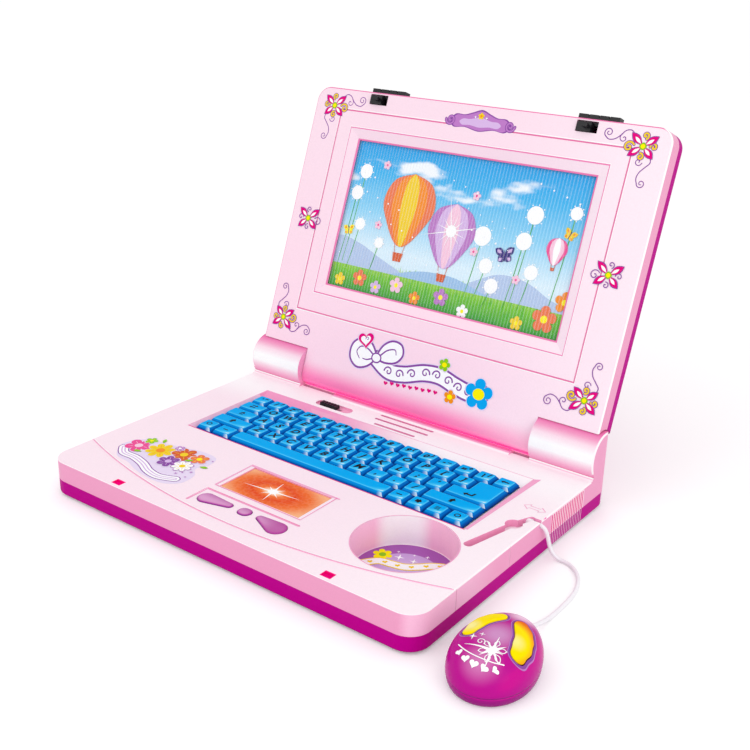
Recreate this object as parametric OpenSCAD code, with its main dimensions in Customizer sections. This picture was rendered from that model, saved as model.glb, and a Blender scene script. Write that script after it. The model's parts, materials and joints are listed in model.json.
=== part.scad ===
// Toy laptop computer: a clamshell with a picture screen in its lid, a bevelled
// keyboard, a round well for its egg-shaped mouse and two knuckles for the hinge.
// X runs to the right, Y to the back and Z up; the feet stand on Z = 0.

/* [Base] */
// Width of the base
base_w = 300; // [296:1:330]
// Depth of the base from front to back
base_d = 228; // [226:1:250]
// Height of the base's two shells together
base_h = 25; // [24:0.5:32]
// Height of the upper shell's side band
band_h = 14.3; // [13:0.1:16]
// Radius of the base's corners seen from above
corner_r = 14; // [10:0.5:18]
// Wall of the moulded shells
wall = 2; // [1.8:0.1:2.4]
// Thickness of the deck
deck_t = 2.2; // [2:0.1:2.6]
// Rounding of the shells' outer edges
edge_r = 1.2; // [0.6:0.1:1.6]
// Rounding of the base's lower edge
bottom_edge_r = 2; // [1:0.1:2]
// Clearance between pieces that are fitted together
fit = 0.15; // [0.1:0.01:0.25]
// Clearance round a piece that slides
slide_fit = 0.3; // [0.2:0.05:0.5]

/* [Feet and screws] */
// Radius of a rubber foot
foot_r = 6; // [5:0.5:7]
// How far the feet stand out below the base
foot_h = 1.2; // [1:0.1:2]
// Distance of the feet from the sides
foot_inset_x = 18; // [16:1:20]
// Distance of the feet from the front and the back
foot_inset_y = 32; // [30:1:36]
// Radius of a case screw's shank
screw_r = 1.3; // [1.2:0.05:1.5]
// Radius of a case screw's head
screw_head_r = 2.7; // [2.5:0.1:3]
// Outer radius of a screw boss
boss_r = 3.8; // [3.5:0.1:4.2]
// Shank radius of the small screws
small_screw_r = 0.9; // [0.8:0.05:1]

/* [Keyboard] */
// Distance from the key field's ends to the base's sides, on average
keys_from_side = 36.75; // [36:0.25:40]
// Distance from the key field to the base's back edge
keys_from_back = 60; // [58:0.5:62]
// Gap between neighbouring keys
key_gap = 0.8; // [0.6:0.1:1.2]
// Height of a key cap
key_h = 4.4; // [4:0.1:5]
// Upright part of a cap's side below its bevel
key_skirt = 1.6; // [1.2:0.1:2]
// Width of the bevel round a key's top
key_bevel = 2; // [1.4:0.1:2.6]
// How far a key sinks when pressed
key_travel = 1.6; // [1.2:0.1:1.8]
// How far the key tops stand above the deck
key_proud = 1.2; // [0.8:0.1:1.4]
// Width of a key's stem
key_stem = 6; // [5:0.5:7]
// Distance from the base's front edge to the keys
keys_from_front = 97.5; // [97:0.5:100]
// Offset of the keyboard to the right of the middle
keys_shift = 1.5; // [0:0.5:3]
// Depth of the bevelled recess that holds the keys
recess_h = 3; // [2.5:0.1:3.5]
// Width of the recess's slope at both sides
recess_side = 3; // [2:0.5:4]
// Width of the recess's slope at the back
recess_back = 10; // [8:0.5:12]

/* [Hinge] */
// Distance of the hinge axis from the base's back
hinge_inset = 13; // [12.5:0.5:16]
// Gap between the deck and the closed lid
closed_gap = 2; // [1.8:0.1:2.4]
// Outer radius of the hinge knuckles on the base
knuckle_r = 16.8; // [16:0.1:18]
// Width of a hinge knuckle
knuckle_w = 48; // [44:1:56]
// Radius of the steel hinge pins
pin_r = 3; // [2.5:0.1:3.5]
// Radial clearance of a pin in its knuckle
pin_clear = 0.05; // [0.02:0.01:0.08]
// Length of a pin's seat on either side of the gap
pin_seat = 14; // [10:1:18]
// Gap at the ends of the lid's hinge barrel
barrel_gap = 0.4; // [0.3:0.1:0.8]
// How far the open lid leans back from upright
lid_tilt = 20; // [10:1:30]

/* [Lid] */
// Width of the lid
lid_w = 293; // [290:1:296]
// Thickness of the lid
lid_t = 21; // [20:0.5:23]
// Thickness of the lid's front frame
lid_front_t = 12; // [11:0.5:13]
// Radius of the lid's upper corners
lid_corner_r = 11; // [8:0.5:14]
// Rounding of the lid's tail below the hinge axis
tail_r = 8; // [6:0.5:9]
// Rounding of the lid's back edges
back_edge_r = 3; // [2:0.5:4]
// Width of the screen's visible picture
screen_w = 199; // [180:1:204]
// Height of the screen's visible picture
screen_h = 112; // [100:1:116]
// Distance from the screen's middle to the lid's top edge
screen_from_top = 92.8; // [89:0.2:97]
// Width of the slope round the screen
screen_slope = 8; // [6:0.5:9]
// How deep the screen lies behind the lid's face
screen_depth = 3; // [2:0.2:4]
// Width of the raised outer frame round the screen
outer_frame_w = 241; // [236:1:246]
// Height of the outer frame
outer_frame_h = 156.6; // [152:0.2:160]
// Width of the groove that draws the frames
groove_w = 1; // [0.8:0.1:1.6]
// Depth of the fine grooves
groove_h = 0.5; // [0.3:0.05:0.7]

/* [Latches] */
// Distance between the two latches
latch_pitch = 173; // [165:1:180]
// Length of a latch's ribbed grip
grip_w = 30; // [26:1:34]
// How far a latch slides to lock
latch_travel = 3; // [2.5:0.1:3.2]
// Width of a catch slot in the deck
catch_w = 7; // [6.8:0.1:8]
// Length of a catch slot from front to back
catch_d = 4.6; // [4.4:0.1:5.2]
// Distance of the catch slots from the base's front edge
catch_from_front = 5.4; // [5.2:0.1:5.8]

/* [Mouse well and cord channel] */
// Radius of the round well for the mouse
well_r = 32; // [31:0.5:33]
// Depth of the well
well_h = 20; // [18:0.5:20.5]
// Distance of the well's middle from the right side
well_from_right = 50; // [46:1:52]
// Distance of the well's middle from the front
well_from_front = 59.5; // [56:0.5:62]
// Width of the channel for the cord
channel_w = 5; // [4.4:0.1:6]
// Depth of the channel
channel_h = 4.8; // [4.6:0.1:6]
// Radius of the finger pocket in the channel
pocket_r = 5.5; // [5:0.1:6.5]

/* [Palm rest] */
// Radius of the crease that curves over the palm rest
crease_r = 446; // [400:2:500]
// Distance of the crease from the front edge at its middle
crease_from_front = 10.8; // [10:0.1:12]
// How much lower the deck lies in front of the crease
crease_h = 0.5; // [0.3:0.05:0.7]
// Width of the light panel's recess
panel_w = 66; // [60:1:70]
// Depth of the light panel's recess from front to back
panel_d = 33; // [30:1:36]
// How far the deck buttons stand out
button_proud = 0.9; // [0.6:0.1:1.3]
// How far the deck buttons sink when pressed
button_travel = 0.8; // [0.5:0.1:1.1]

/* [Power switch and speaker] */
// Length of the switch's recess
switch_w = 33; // [31:1:36]
// Width of the switch's recess
switch_d = 9; // [8:0.5:10]
// Length of the ribbed thumb piece
thumb_w = 15; // [13:1:16]
// How far the thumb piece slides
switch_travel = 9; // [7:0.5:10]
// Outer radius of the loudspeaker
speaker_r = 18; // [16:0.5:19]

/* [Batteries] */
// Length of one cell
cell_l = 50.5; // [50:0.1:51]
// Radius of one cell
cell_r = 7.2; // [7:0.05:7.3]
// Number of cells side by side
cells = 3; // [2:1:3]

/* [Mouse] */
// Width of the mouse
mouse_w = 46.5; // [44:0.5:50]
// Length of the mouse
mouse_l = 63; // [60:0.5:63.5]
// Height of the mouse
mouse_h = 27; // [25:0.5:29]
// Height of the mouse's parting line
mouse_split = 6.5; // [6:0.5:7.5]
// Wall of the mouse's shells
mouse_wall = 1.8; // [1.6:0.1:2]
// How far a mouse button sinks when clicked
click_travel = 0.8; // [0.5:0.1:0.9]
// Radius of the mouse's cord
cord_r = 1.3; // [1.1:0.1:1.4]

/* [Hidden] */
$fn = 48;

PINK = "#F8C9DE";
MAGENTA = "#B4007F";
BLUE = "#16A6E8";
PURPLE = "#C55FB0";
BLACK = "#202024";
STEEL = "#B8BCC2";
GREEN = "#2F7D4A";
RUBBER = "#D9D4CF";

// the base
split_z = foot_h + base_h - band_h;
deck_z = foot_h + base_h;
floor_t = wall;
floor_z = foot_h + floor_t;
lip_t = 1.2;
lip_h = 2.4;

// the hinge, the lid's own frame has its origin on the axis
hinge_y = base_d / 2 - hinge_inset;
lid_reach = base_d - hinge_inset;
screen_up = lid_reach - screen_from_top;
lid_tail = hinge_inset;
half_t = lid_t / 2;
hinge_z = deck_z + closed_gap + half_t;
seam_y = lid_front_t - half_t;
barrel_half = base_w / 2 - knuckle_w - barrel_gap;
notch_r = knuckle_r + 0.7;
trough_r = norm([lid_tail - tail_r, half_t - tail_r]) + tail_r + 0.45;
knuckle_wall = 2.4;
lid_boss_r = 6.5;
pin_press = 0.02;

// the keyboard, heights below are measured from the deck
units = 15;
rows = 5;
field_w = base_w - 2 * keys_from_side;
field_d = base_d - keys_from_front - keys_from_back;
key_pitch_x = field_w / units;
key_pitch_y = field_d / rows;
cap_under = key_proud - key_h;
plate_top = -recess_h - deck_t;
plate_t = 2;
plate_margin_x = 12;
plate_margin_y = 3;
flange = key_stem + 2.4;
flange_t = 1;
flange_top = plate_top - plate_t - slide_fit;
stem_end = flange_top - flange_t - 0.8;
dome_top = stem_end - key_travel - 0.1;
dome_r = 2.6;
dome_h = 1;
mat_t = 1;
mat_top = dome_top - dome_h;
contact_top = mat_top - mat_t;
contact_t = 1.2;

// each row of keys: where the single-width keys start and how many there are
letter_start = [0, 1.5, 1.75, 2.25];
letter_count = [14, 12, 11, 10];
bottom_row = [[0, 1], [1, 1.15], [11.1, 1], [12.1, 0.95], [13.05, 0.95], [14, 1]];
space_start = 2.15;
space_units = 8.95;
tab_units = 1.5;
caps_units = 1.75;
shift_units = 2.25;
enter_start = 12.75;
enter_top_start = 13.5;
shift_start = 12.25;

// the latches
grip_h = 3;
grip_d = 6.4;
hook_w = 10.5;
hook_h = 6.4;
stem_w = 14;
grip_x = 5;
finger_x = -3.2;
hook_x = finger_x;
window_w = hook_w + latch_travel + 2.4;
finger_w = 3;
finger_h = 2.4;
barb_w = 1.6;
barb_h = 1.8;
finger_end = closed_gap + deck_t + 0.3 + barb_h;

// the well, the channel and the cord's exit
well_x = base_w / 2 - well_from_right;
well_y = well_from_front;
channel_start = [well_x + well_r - 2.5, well_y + 22.5];
pocket_at = [base_w / 2 - 11.7, well_y + 59.5];
channel_end = [base_w / 2 - 6.5, well_y + 72.5];
gland_r = 1.9;
gland_l = 5;
exit_w = 2 * cord_r + 0.8;
exit_z = -channel_h + 0.5 + exit_w / 2;

// the palm rest
panel_y = 58.8;
panel_rim = 2;
panel_sink = 1.4;
ridge_left = -36.5;
ridge_right = 39.5;
ridge_front = 17.6;
ridge_y = 35.2;
bean_left = [[-27.5, 25.2, 5.8], [-10, 27, 2.8]];
bean_centre = [[2.6, 27.2, 4.2], [3.8, 27.2, 4.2]];
bean_right = [[15.6, 27.6, 2.6], [31, 24.6, 6.8]];
button_flange = 1.2;
button_h = 4.4;
plunger_h = 1.6;

// the power switch and the loudspeaker
switch_x = -56.3;
switch_y = base_d - 41;
switch_sink = 1.5;
thumb_start = switch_x - switch_w / 2 + 4.7 + thumb_w / 2;
speaker_x = 3;
speaker_y = base_d - 38.5;
speaker_top = -5.3;
speaker_h = 8;
slot_w = 1.3;
slots = [[-19.5, 26, base_d - 31], [-19.5, 26, base_d - 38.2], [-14.5, 20, base_d - 46]];
ledge_left = -barrel_half + 32.6;
ledge_right = barrel_half - 14.6;
ledge_front = base_d - 29;
ledge_top_front = base_d - 26.4;
ledge_top_back = base_d - 23;
ledge_h = 1.6;

// the battery bay
bay_x = 62 - base_w / 2;
bay_y = 52;
bay_l = cell_l + 5;
bay_w = cells * (2 * cell_r + 0.4) + 1;
bay_top = floor_z + 2 * cell_r + 1;
cell_z = floor_z + cell_r + 0.2;
door_rim = 3;
door_t = floor_t;
ear_r = 5;

// the main board and its lamps
board_x0 = -42;
board_x1 = 48;
board_y0 = 14;
board_y1 = 82;
board_t = 1.6;
board_top = -8.4;

// fasteners
case_screws = [
    [-base_w / 2 + 15, 17], [base_w / 2 - 15, 17],
    [-base_w / 2 + 10, base_d - 78], [base_w / 2 - 10, base_d - 70],
    [-60, base_d - 31], [56, base_d - 31]
];
board_screws = [
    [board_x0 + 4, board_y0 + 5], [board_x1 - 4, board_y0 + 5],
    [board_x0 + 4, board_y1 - 4], [board_x1 - 4, board_y1 - 4]
];
keyboard_screws = [for (s = [-1, 1], row = [0.6, 2.5, 4.4])
    [keys_shift + s * (field_w / 2 + 8.4), keys_from_front + row * key_pitch_y]];
lid_screws = [for (s = [-1, 1], down = [163, 87, 17]) [s * (lid_w / 2 - 11.5), lid_reach - down]];
head_h = 2;
head_sink = 3.4;

// the side grip and the panel lines on the right side
grip_from = 146;
grip_to = 188;
grip_step = 2.4;
line_at = [37.7, 95.2];

// the mouse, its own frame has its nose along +Y and stands on Z = 0
mouse_at = [base_w / 2 + 38, 18.4 - base_d / 2];
mouse_turn = 3;
mouse_sides = 48;
mouse_belly = 0.33;
mouse_sole = 0.88;
mouse_rings = concat(
    [for (a = [90:-22.5:22.5]) [mouse_belly * (1 - sin(a)), mouse_sole + (1 - mouse_sole) * cos(a)]],
    [for (a = [0, 13, 26, 38, 49, 59, 68, 76, 83])
        [mouse_belly + (1 - mouse_belly) * sin(a), pow(cos(a), 0.62)]]
);
click_beads = [[6, 11.2, 4.2], [11.6, 3.4, 5], [14.2, -7.4, 4.4]];
mouse_board_z = 8;
relief_l = 8;
mouse_screw_y = -17;
mouse_board_screw = [6, 6];
click_switch_h = 3.4;
click_stem_r = 2;

// the cord from the gland over the base's edge down to the floor, each point as
// [distance from the right side, distance from the front, share of the drop left]
cord_hang = [
    [-10, 132, 1], [-7, 132, 1], [-4, 132, 1], [-1, 132.1, 0.995], [1.7, 132.5, 0.945], [3.4, 133, 0.83],
    [4.5, 133.6, 0.66], [5.3, 134.4, 0.46], [6.4, 135.4, 0.27], [8.6, 136.6, 0.11], [11.8, 137.6, 0.02],
    [15.6, 137.6, 0], [20, 136.1, 0], [24.6, 132.9, 0], [28.9, 128.1, 0], [32.2, 122, 0], [34.6, 115.4, 0],
    [36.1, 108.2, 0], [36.8, 100.8, 0], [37, 93.4, 0], [36.9, 86, 0]
];
// the rest of it rises to the mouse's nose, as [share of the way, share of the rise]
cord_rise = [[0.33, 0.1], [0.62, 0.42], [0.86, 0.82]];
cord_drop = deck_z + exit_z - cord_r;
mouse_nose = [for (t = [relief_l - 1, -2]) [
    mouse_at[0] - sin(mouse_turn) * (mouse_l / 2 + t),
    mouse_at[1] + cos(mouse_turn) * (mouse_l / 2 + t),
    mouse_split
]];
cord_floor = [for (p = cord_hang) [base_w / 2 + p[0], p[1] - base_d / 2, cord_r + p[2] * cord_drop]];
cord_last = cord_floor[len(cord_floor) - 1];
cord_points = concat(
    cord_floor,
    [for (r = cord_rise) [
        cord_last[0] + r[0] * (mouse_nose[0][0] - cord_last[0]),
        cord_last[1] + r[0] * (mouse_nose[0][1] - cord_last[1]),
        cord_r + r[1] * (mouse_split - cord_r)
    ]],
    mouse_nose
);

// ---------------------------------------------------------------- helpers

// places children by their distance from the middle, the front edge and the deck
module on_deck(x = 0, y = 0, z = 0) {
    translate([x, y - base_d / 2, deck_z + z]) children();
}

// the open lid's frame: Z runs up the lid from the axis, -Y is the lid's face
module in_lid() {
    translate([0, hinge_y, hinge_z]) rotate([-lid_tilt, 0, 0]) children();
}

// extrudes an outline drawn in Y and Z along X, centred
module along_x(length) {
    translate([-length / 2, 0, 0]) rotate([90, 0, 90]) linear_extrude(length) children();
}

// a cylinder that lies along X from x0 to x1
module rod_x(r, x0, x1) {
    translate([x0, 0, 0]) rotate([0, 90, 0]) cylinder(r = r, h = x1 - x0);
}

// the same on one side, between two distances from the middle
module side_rod(s, r, x0, x1) {
    rod_x(r, s > 0 ? x0 : -x1, s > 0 ? x1 : -x0);
}

module rounded_rect(w, d, r) {
    square([w - 2 * r, d], center = true);
    square([w, d - 2 * r], center = true);
    for (x = [-1, 1], y = [-1, 1]) translate([x * (w / 2 - r), y * (d / 2 - r)]) circle(r);
}

module rounded_prism(w, d, h, r) {
    linear_extrude(h) rounded_rect(w, d, r);
}

// half of a side profile: square below, rounded by e at its upper outer corner
module edge_profile(half, h, e) {
    square([half, h - e]);
    square([half - e, h]);
    translate([half - e, h - e]) circle(e);
}

// a rounded block whose upper edge is rounded too
module soft_block(w, d, h, r, e) {
    for (x = [-1, 1], y = [-1, 1])
        translate([x * (w / 2 - r), y * (d / 2 - r), 0]) rotate_extrude() edge_profile_half(r, h, e);
    for (s = [0, 180]) rotate([0, 0, s]) {
        translate([0, d / 2 - r, 0]) rotate([90, 0, 0]) linear_extrude(d - 2 * r) edge_profile(w / 2, h, e);
        translate([-w / 2 + r, 0, 0]) rotate([90, 0, 90]) linear_extrude(w - 2 * r) edge_profile(d / 2, h, e);
    }
}

// the same profile cut off at the axis, for a corner
module edge_profile_half(r, h, e) {
    intersection() {
        edge_profile(r, h, e);
        square([r + 1, h + 1]);
    }
}

// outline of two circles and their outer tangents, each circle as [x, y, radius]
module bean(a, b, grow = 0) {
    d = [b[0] - a[0], b[1] - a[1]];
    lean = acos((a[2] - b[2]) / norm(d));
    turn = atan2(d[1], d[0]);
    // the sides run a hair inside the two circles, so that they cross them
    ra = (a[2] + grow) * 0.998;
    rb = (b[2] + grow) * 0.998;
    translate([a[0], a[1]]) circle(a[2] + grow);
    translate([b[0], b[1]]) circle(b[2] + grow);
    polygon([
        [a[0] + ra * cos(turn + lean), a[1] + ra * sin(turn + lean)],
        [b[0] + rb * cos(turn + lean), b[1] + rb * sin(turn + lean)],
        [b[0] + rb * cos(turn - lean), b[1] + rb * sin(turn - lean)],
        [a[0] + ra * cos(turn - lean), a[1] + ra * sin(turn - lean)]
    ]);
}

// a box from x0, y0, z0 to x1, y1, z1
module block(x0, y0, z0, x1, y1, z1) {
    translate([x0, y0, z0]) cube([x1 - x0, y1 - y0, z1 - z0]);
}

// a screw with its head down at z = 0 and its shank upwards
module screw(shank_r, head_r, length) {
    difference() {
        union() {
            cylinder(r = head_r, h = head_h);
            cylinder(r = shank_r, h = length);
        }
        for (turn = [0, 90]) rotate([0, 0, turn])
            translate([-head_r * 0.6, -head_r * 0.14, -1]) cube([head_r * 1.2, head_r * 0.28, 1.8]);
    }
}

// ---------------------------------------------------------------- the base

// one knuckle as a solid: a drum on the hinge axis, its foot and its fillet
module knuckle_solid(s) {
    x0 = s > 0 ? base_w / 2 - knuckle_w : -base_w / 2;
    intersection() {
        union() {
            translate([0, hinge_y, hinge_z]) translate([s * (base_w / 2 - knuckle_w), 0, 0])
                rotate([0, s * 90, 0]) rotate_extrude() knuckle_profile();
            translate([x0, 0, 0]) rotate([90, 0, 90]) linear_extrude(knuckle_w) knuckle_foot();
        }
        translate([0, 0, deck_z - deck_t]) rounded_prism(base_w, base_d, knuckle_r * 3, corner_r);
    }
}

module knuckle_profile() {
    e = edge_r * 1.5;
    square([knuckle_r - e, knuckle_w]);
    square([knuckle_r, knuckle_w - e]);
    translate([knuckle_r - e, knuckle_w - e]) circle(e);
}

// the fill under the drum with a fillet no higher than the closed lid's gap
module knuckle_foot() {
    r = closed_gap;
    rise = hinge_z - deck_z - r;
    back = sqrt(pow(knuckle_r + r, 2) - rise * rise);
    difference() {
        translate([hinge_y - back, deck_z - deck_t]) square([back + hinge_inset, deck_t + r + 2.6]);
        translate([hinge_y - back, deck_z + r]) circle(r);
        difference() {
            translate([hinge_y - back - 1, deck_z + r]) square([back, 5]);
            translate([hinge_y, hinge_z]) circle(knuckle_r - 0.2);
        }
    }
}

// the hollow of one knuckle, open to the inside of the base
module knuckle_hollow(s) {
    inner = base_w / 2 - knuckle_w + 4;
    outer = base_w / 2 - knuckle_wall;
    intersection() {
        union() {
            translate([0, hinge_y, hinge_z])
                side_rod(s, knuckle_r - knuckle_wall, inner, outer);
            translate([s > 0 ? inner : -outer, hinge_y - knuckle_r + knuckle_wall + 3, deck_z - deck_t - 1])
                cube([outer - inner, 2 * knuckle_r, deck_t + 2]);
        }
        translate([0, 0, split_z])
            rounded_prism(base_w - 2 * knuckle_wall, base_d - 2 * knuckle_wall, 60, corner_r - knuckle_wall);
    }
}

module knuckle_bush(s) {
    x0 = base_w / 2 - knuckle_w;
    translate([0, hinge_y, hinge_z]) side_rod(s, pin_r + 2.6, x0, x0 + pin_seat);
}

module knuckle_bore(s) {
    x0 = base_w / 2 - knuckle_w;
    translate([0, hinge_y, hinge_z])
        side_rod(s, pin_r + pin_clear, x0 - 1, x0 + pin_seat + 1);
}

// the sloped recess of the keyboard, drawn from its floor to above the deck
module keyboard_recess() {
    front = 0.6;
    rise = recess_h + 1;
    spread = rise / recess_h;
    side = field_w / 2 + front;
    on_deck(keys_shift, keys_from_front, -recess_h) intersection() {
        translate([0, field_d + 30, 0]) rotate([90, 0, 0]) linear_extrude(field_d + 60) polygon([
            [-side, 0], [side, 0], [side + recess_side * spread, rise], [-side - recess_side * spread, rise]
        ]);
        along_x(field_w + 60) polygon([
            [-front, 0], [field_d + front, 0],
            [field_d + front + (recess_back - front) * spread, rise], [-front - 2 * spread, rise]
        ]);
    }
}

// the outline of the cord's channel and pocket, grown for its walls
module channel_outline(grow = 0) {
    half = channel_w / 2;
    bean(concat(channel_start, half + 0.4), concat(pocket_at, half), grow);
    bean(concat(pocket_at, half), concat(channel_end, half - 0.3), grow);
    translate(pocket_at) circle(pocket_r + grow);
}

module ledge() {
    on_deck() translate([(ledge_left + ledge_right) / 2, 0, 0]) along_x(ledge_right - ledge_left) polygon([
        [ledge_front, -1], [ledge_front, 0], [ledge_top_front, ledge_h], [ledge_top_back, ledge_h],
        [ledge_top_back, -1]
    ]);
}

// bosses that stand down from the deck to a height, for screws from below
module deck_bosses(places, low, r) {
    for (p = places) on_deck(p[0], p[1], low) cylinder(r = r, h = -low - 1);
}

// the upper shell's outside with everything that hangs under its deck
module base_top_outside() {
    difference() {
        translate([0, 0, split_z]) soft_block(base_w, base_d, band_h, corner_r, edge_r);
        translate([0, 0, split_z - 1])
            rounded_prism(base_w - 2 * wall, base_d - 2 * wall, band_h - deck_t + 1, corner_r - wall);
    }
    on_deck(well_x, well_y, -well_h - wall) cylinder(r = well_r + wall, h = well_h + wall - 0.5);
    on_deck(0, 0, -channel_h - wall) linear_extrude(channel_h + wall - 0.5) channel_outline(wall);
    on_deck(channel_end[0], channel_end[1], exit_z) block(-gland_l - 0.5, -3.4, -3, 0, 3.4, -exit_z - 0.5);
    on_deck(keys_shift, keys_from_front, -recess_h - deck_t)
        translate([-field_w / 2 - recess_side - 2, -4, 0])
            cube([field_w + 2 * recess_side + 4, field_d + recess_back + 6, recess_h + 1]);
    on_deck(0, panel_y, -panel_sink - 3.4)
        block(-panel_w / 2 - wall, -panel_d / 2 - wall, 0, panel_w / 2 + wall, panel_d / 2 + wall, 3.4);
    for (b = [bean_left, bean_centre, bean_right])
        on_deck(0, 0, -deck_t - 2) linear_extrude(3) bean(b[0], b[1], button_flange + slide_fit + 1.2);
    on_deck(switch_x, switch_y, -switch_sink - wall)
        rounded_prism(switch_w + 2 * wall, switch_d + 2 * wall, wall + 1, 2);
    on_deck(speaker_x, speaker_y, speaker_top) cylinder(r = speaker_r + 1.5, h = -speaker_top - 1);
    deck_bosses(case_screws, split_z - deck_z, boss_r);
    deck_bosses(keyboard_screws, plate_top, small_screw_r + 2);
    deck_bosses(board_screws, board_top, small_screw_r + 2);
    on_deck(0, base_d - hinge_inset, -deck_t - 1.6) block(-barrel_half, -9, 0, barrel_half, 9, 2);
    ledge();
    for (s = [-1, 1]) knuckle_solid(s);
}

module deck_cuts() {
    // well, channel and the notch where the cord leaves
    on_deck(well_x, well_y, -well_h) cylinder(r = well_r, h = well_h + 1);
    on_deck(0, 0, -channel_h) linear_extrude(channel_h + 1) channel_outline();
    on_deck(channel_end[0], channel_end[1], exit_z) {
        block(0, -exit_w / 2, 0, 20, exit_w / 2, channel_h);
        rod_x(exit_w / 2, 0, 20);
        rod_x(gland_r, -gland_l - 8, 0);
    }
    // keyboard
    keyboard_recess();
    on_deck(keys_shift, keys_from_front, -recess_h - deck_t - 1)
        block(-field_w / 2 - 0.2, -0.2, 0, field_w / 2 + 0.2, field_d + 0.2, recess_h + deck_t + 2);
    // light panel
    on_deck(0, panel_y, -panel_sink) block(-panel_w / 2, -panel_d / 2, 0, panel_w / 2, panel_d / 2, 5);
    on_deck(0, panel_y, -panel_sink - 5)
        rounded_prism(panel_w - 2 * panel_rim, panel_d - 2 * panel_rim, 6, 1);
    // buttons
    for (b = [bean_left, bean_centre, bean_right]) {
        on_deck(0, 0, -6) linear_extrude(8) bean(b[0], b[1], slide_fit);
        on_deck(0, 0, -6) linear_extrude(6 - deck_t) bean(b[0], b[1], button_flange + slide_fit);
    }
    // power switch
    on_deck(switch_x, switch_y, -switch_sink) linear_extrude(5) bean(
        [-(switch_w - switch_d) / 2, 0, switch_d / 2], [(switch_w - switch_d) / 2, 0, switch_d / 2]);
    on_deck(thumb_start + switch_travel / 2, switch_y, -switch_sink - 5)
        block(-(switch_travel + 5) / 2, -1.3, 0, (switch_travel + 5) / 2, 1.3, 6);
    // loudspeaker
    for (slot = slots) on_deck(0, slot[2], -9)
        linear_extrude(10) bean([slot[0], 0, slot_w / 2], [slot[1], 0, slot_w / 2]);
    on_deck(speaker_x, speaker_y, speaker_top - 1)
        cylinder(r = speaker_r - 1.5, h = -speaker_top + 1 - deck_t - 2.4);
    // catch slots and the trough of the hinge barrel
    for (s = [-1, 1]) on_deck(s * latch_pitch / 2, catch_from_front, -deck_t - 1)
        block(-catch_w / 2, -catch_d / 2, 0, catch_w / 2, catch_d / 2, deck_t + 2);
    translate([0, hinge_y, hinge_z]) rod_x(trough_r, -barrel_half - barrel_gap, barrel_half + barrel_gap);
    // the dark openings at the ledge's ends
    for (x = [[-barrel_half, ledge_left], [ledge_right, barrel_half]])
        on_deck(0, ledge_top_back - 1.4, -deck_t - 3) block(x[0], 0, 0, x[1], 3.4, 8);
    for (s = [-1, 1]) {
        knuckle_hollow(s);
        knuckle_bore(s);
    }
}

// the fine lines drawn in the deck and the right side
module deck_lines() {
    difference() {
        on_deck(0, -1, -crease_h) block(-base_w, -1, 0, base_w, 60, 4);
        on_deck(0, crease_from_front + crease_r, -5) cylinder(r = crease_r, h = 12, $fn = 180);
    }
    on_deck(0, 0, -groove_h) linear_extrude(2) {
        bean([ridge_left, ridge_front, groove_w], [ridge_left, ridge_y, groove_w]);
        bean([ridge_left, ridge_y, groove_w], [ridge_right, ridge_y, groove_w]);
    }
    for (y = line_at) on_deck(base_w / 2 - groove_h, y, -band_h - 1) block(0, 0, 0, 2, 0.6, band_h + 2);
}

// the upright grooves on the right side, through both shells
module side_grip() {
    for (y = [grip_from:grip_step:grip_to])
        on_deck(base_w / 2 - groove_h, y, -base_h - 1) block(0, 0, 0, 2, grip_step / 2, base_h - 0.6);
}

module base_top_shell() color(PINK) {
    difference() {
        base_top_outside();
        deck_cuts();
        deck_lines();
        side_grip();
        for (p = case_screws) on_deck(p[0], p[1], split_z - deck_z - 1) cylinder(r = screw_r, h = 9);
        for (p = keyboard_screws) on_deck(p[0], p[1], plate_top - 1) cylinder(r = small_screw_r, h = 4.4);
        for (p = board_screws) on_deck(p[0], p[1], board_top - 1) cylinder(r = small_screw_r, h = 6);
    }
    difference() {
        for (s = [-1, 1]) knuckle_bush(s);
        for (s = [-1, 1]) knuckle_bore(s);
    }
}

// the door's outline in the base's floor, and the same with the seat's clearance
module door_outline(grow = 0) {
    translate([bay_x, bay_y - base_d / 2])
        square([bay_l + 2 * door_rim + 2 * grow, bay_w + 2 * door_rim + 2 * grow], center = true);
}

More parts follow.
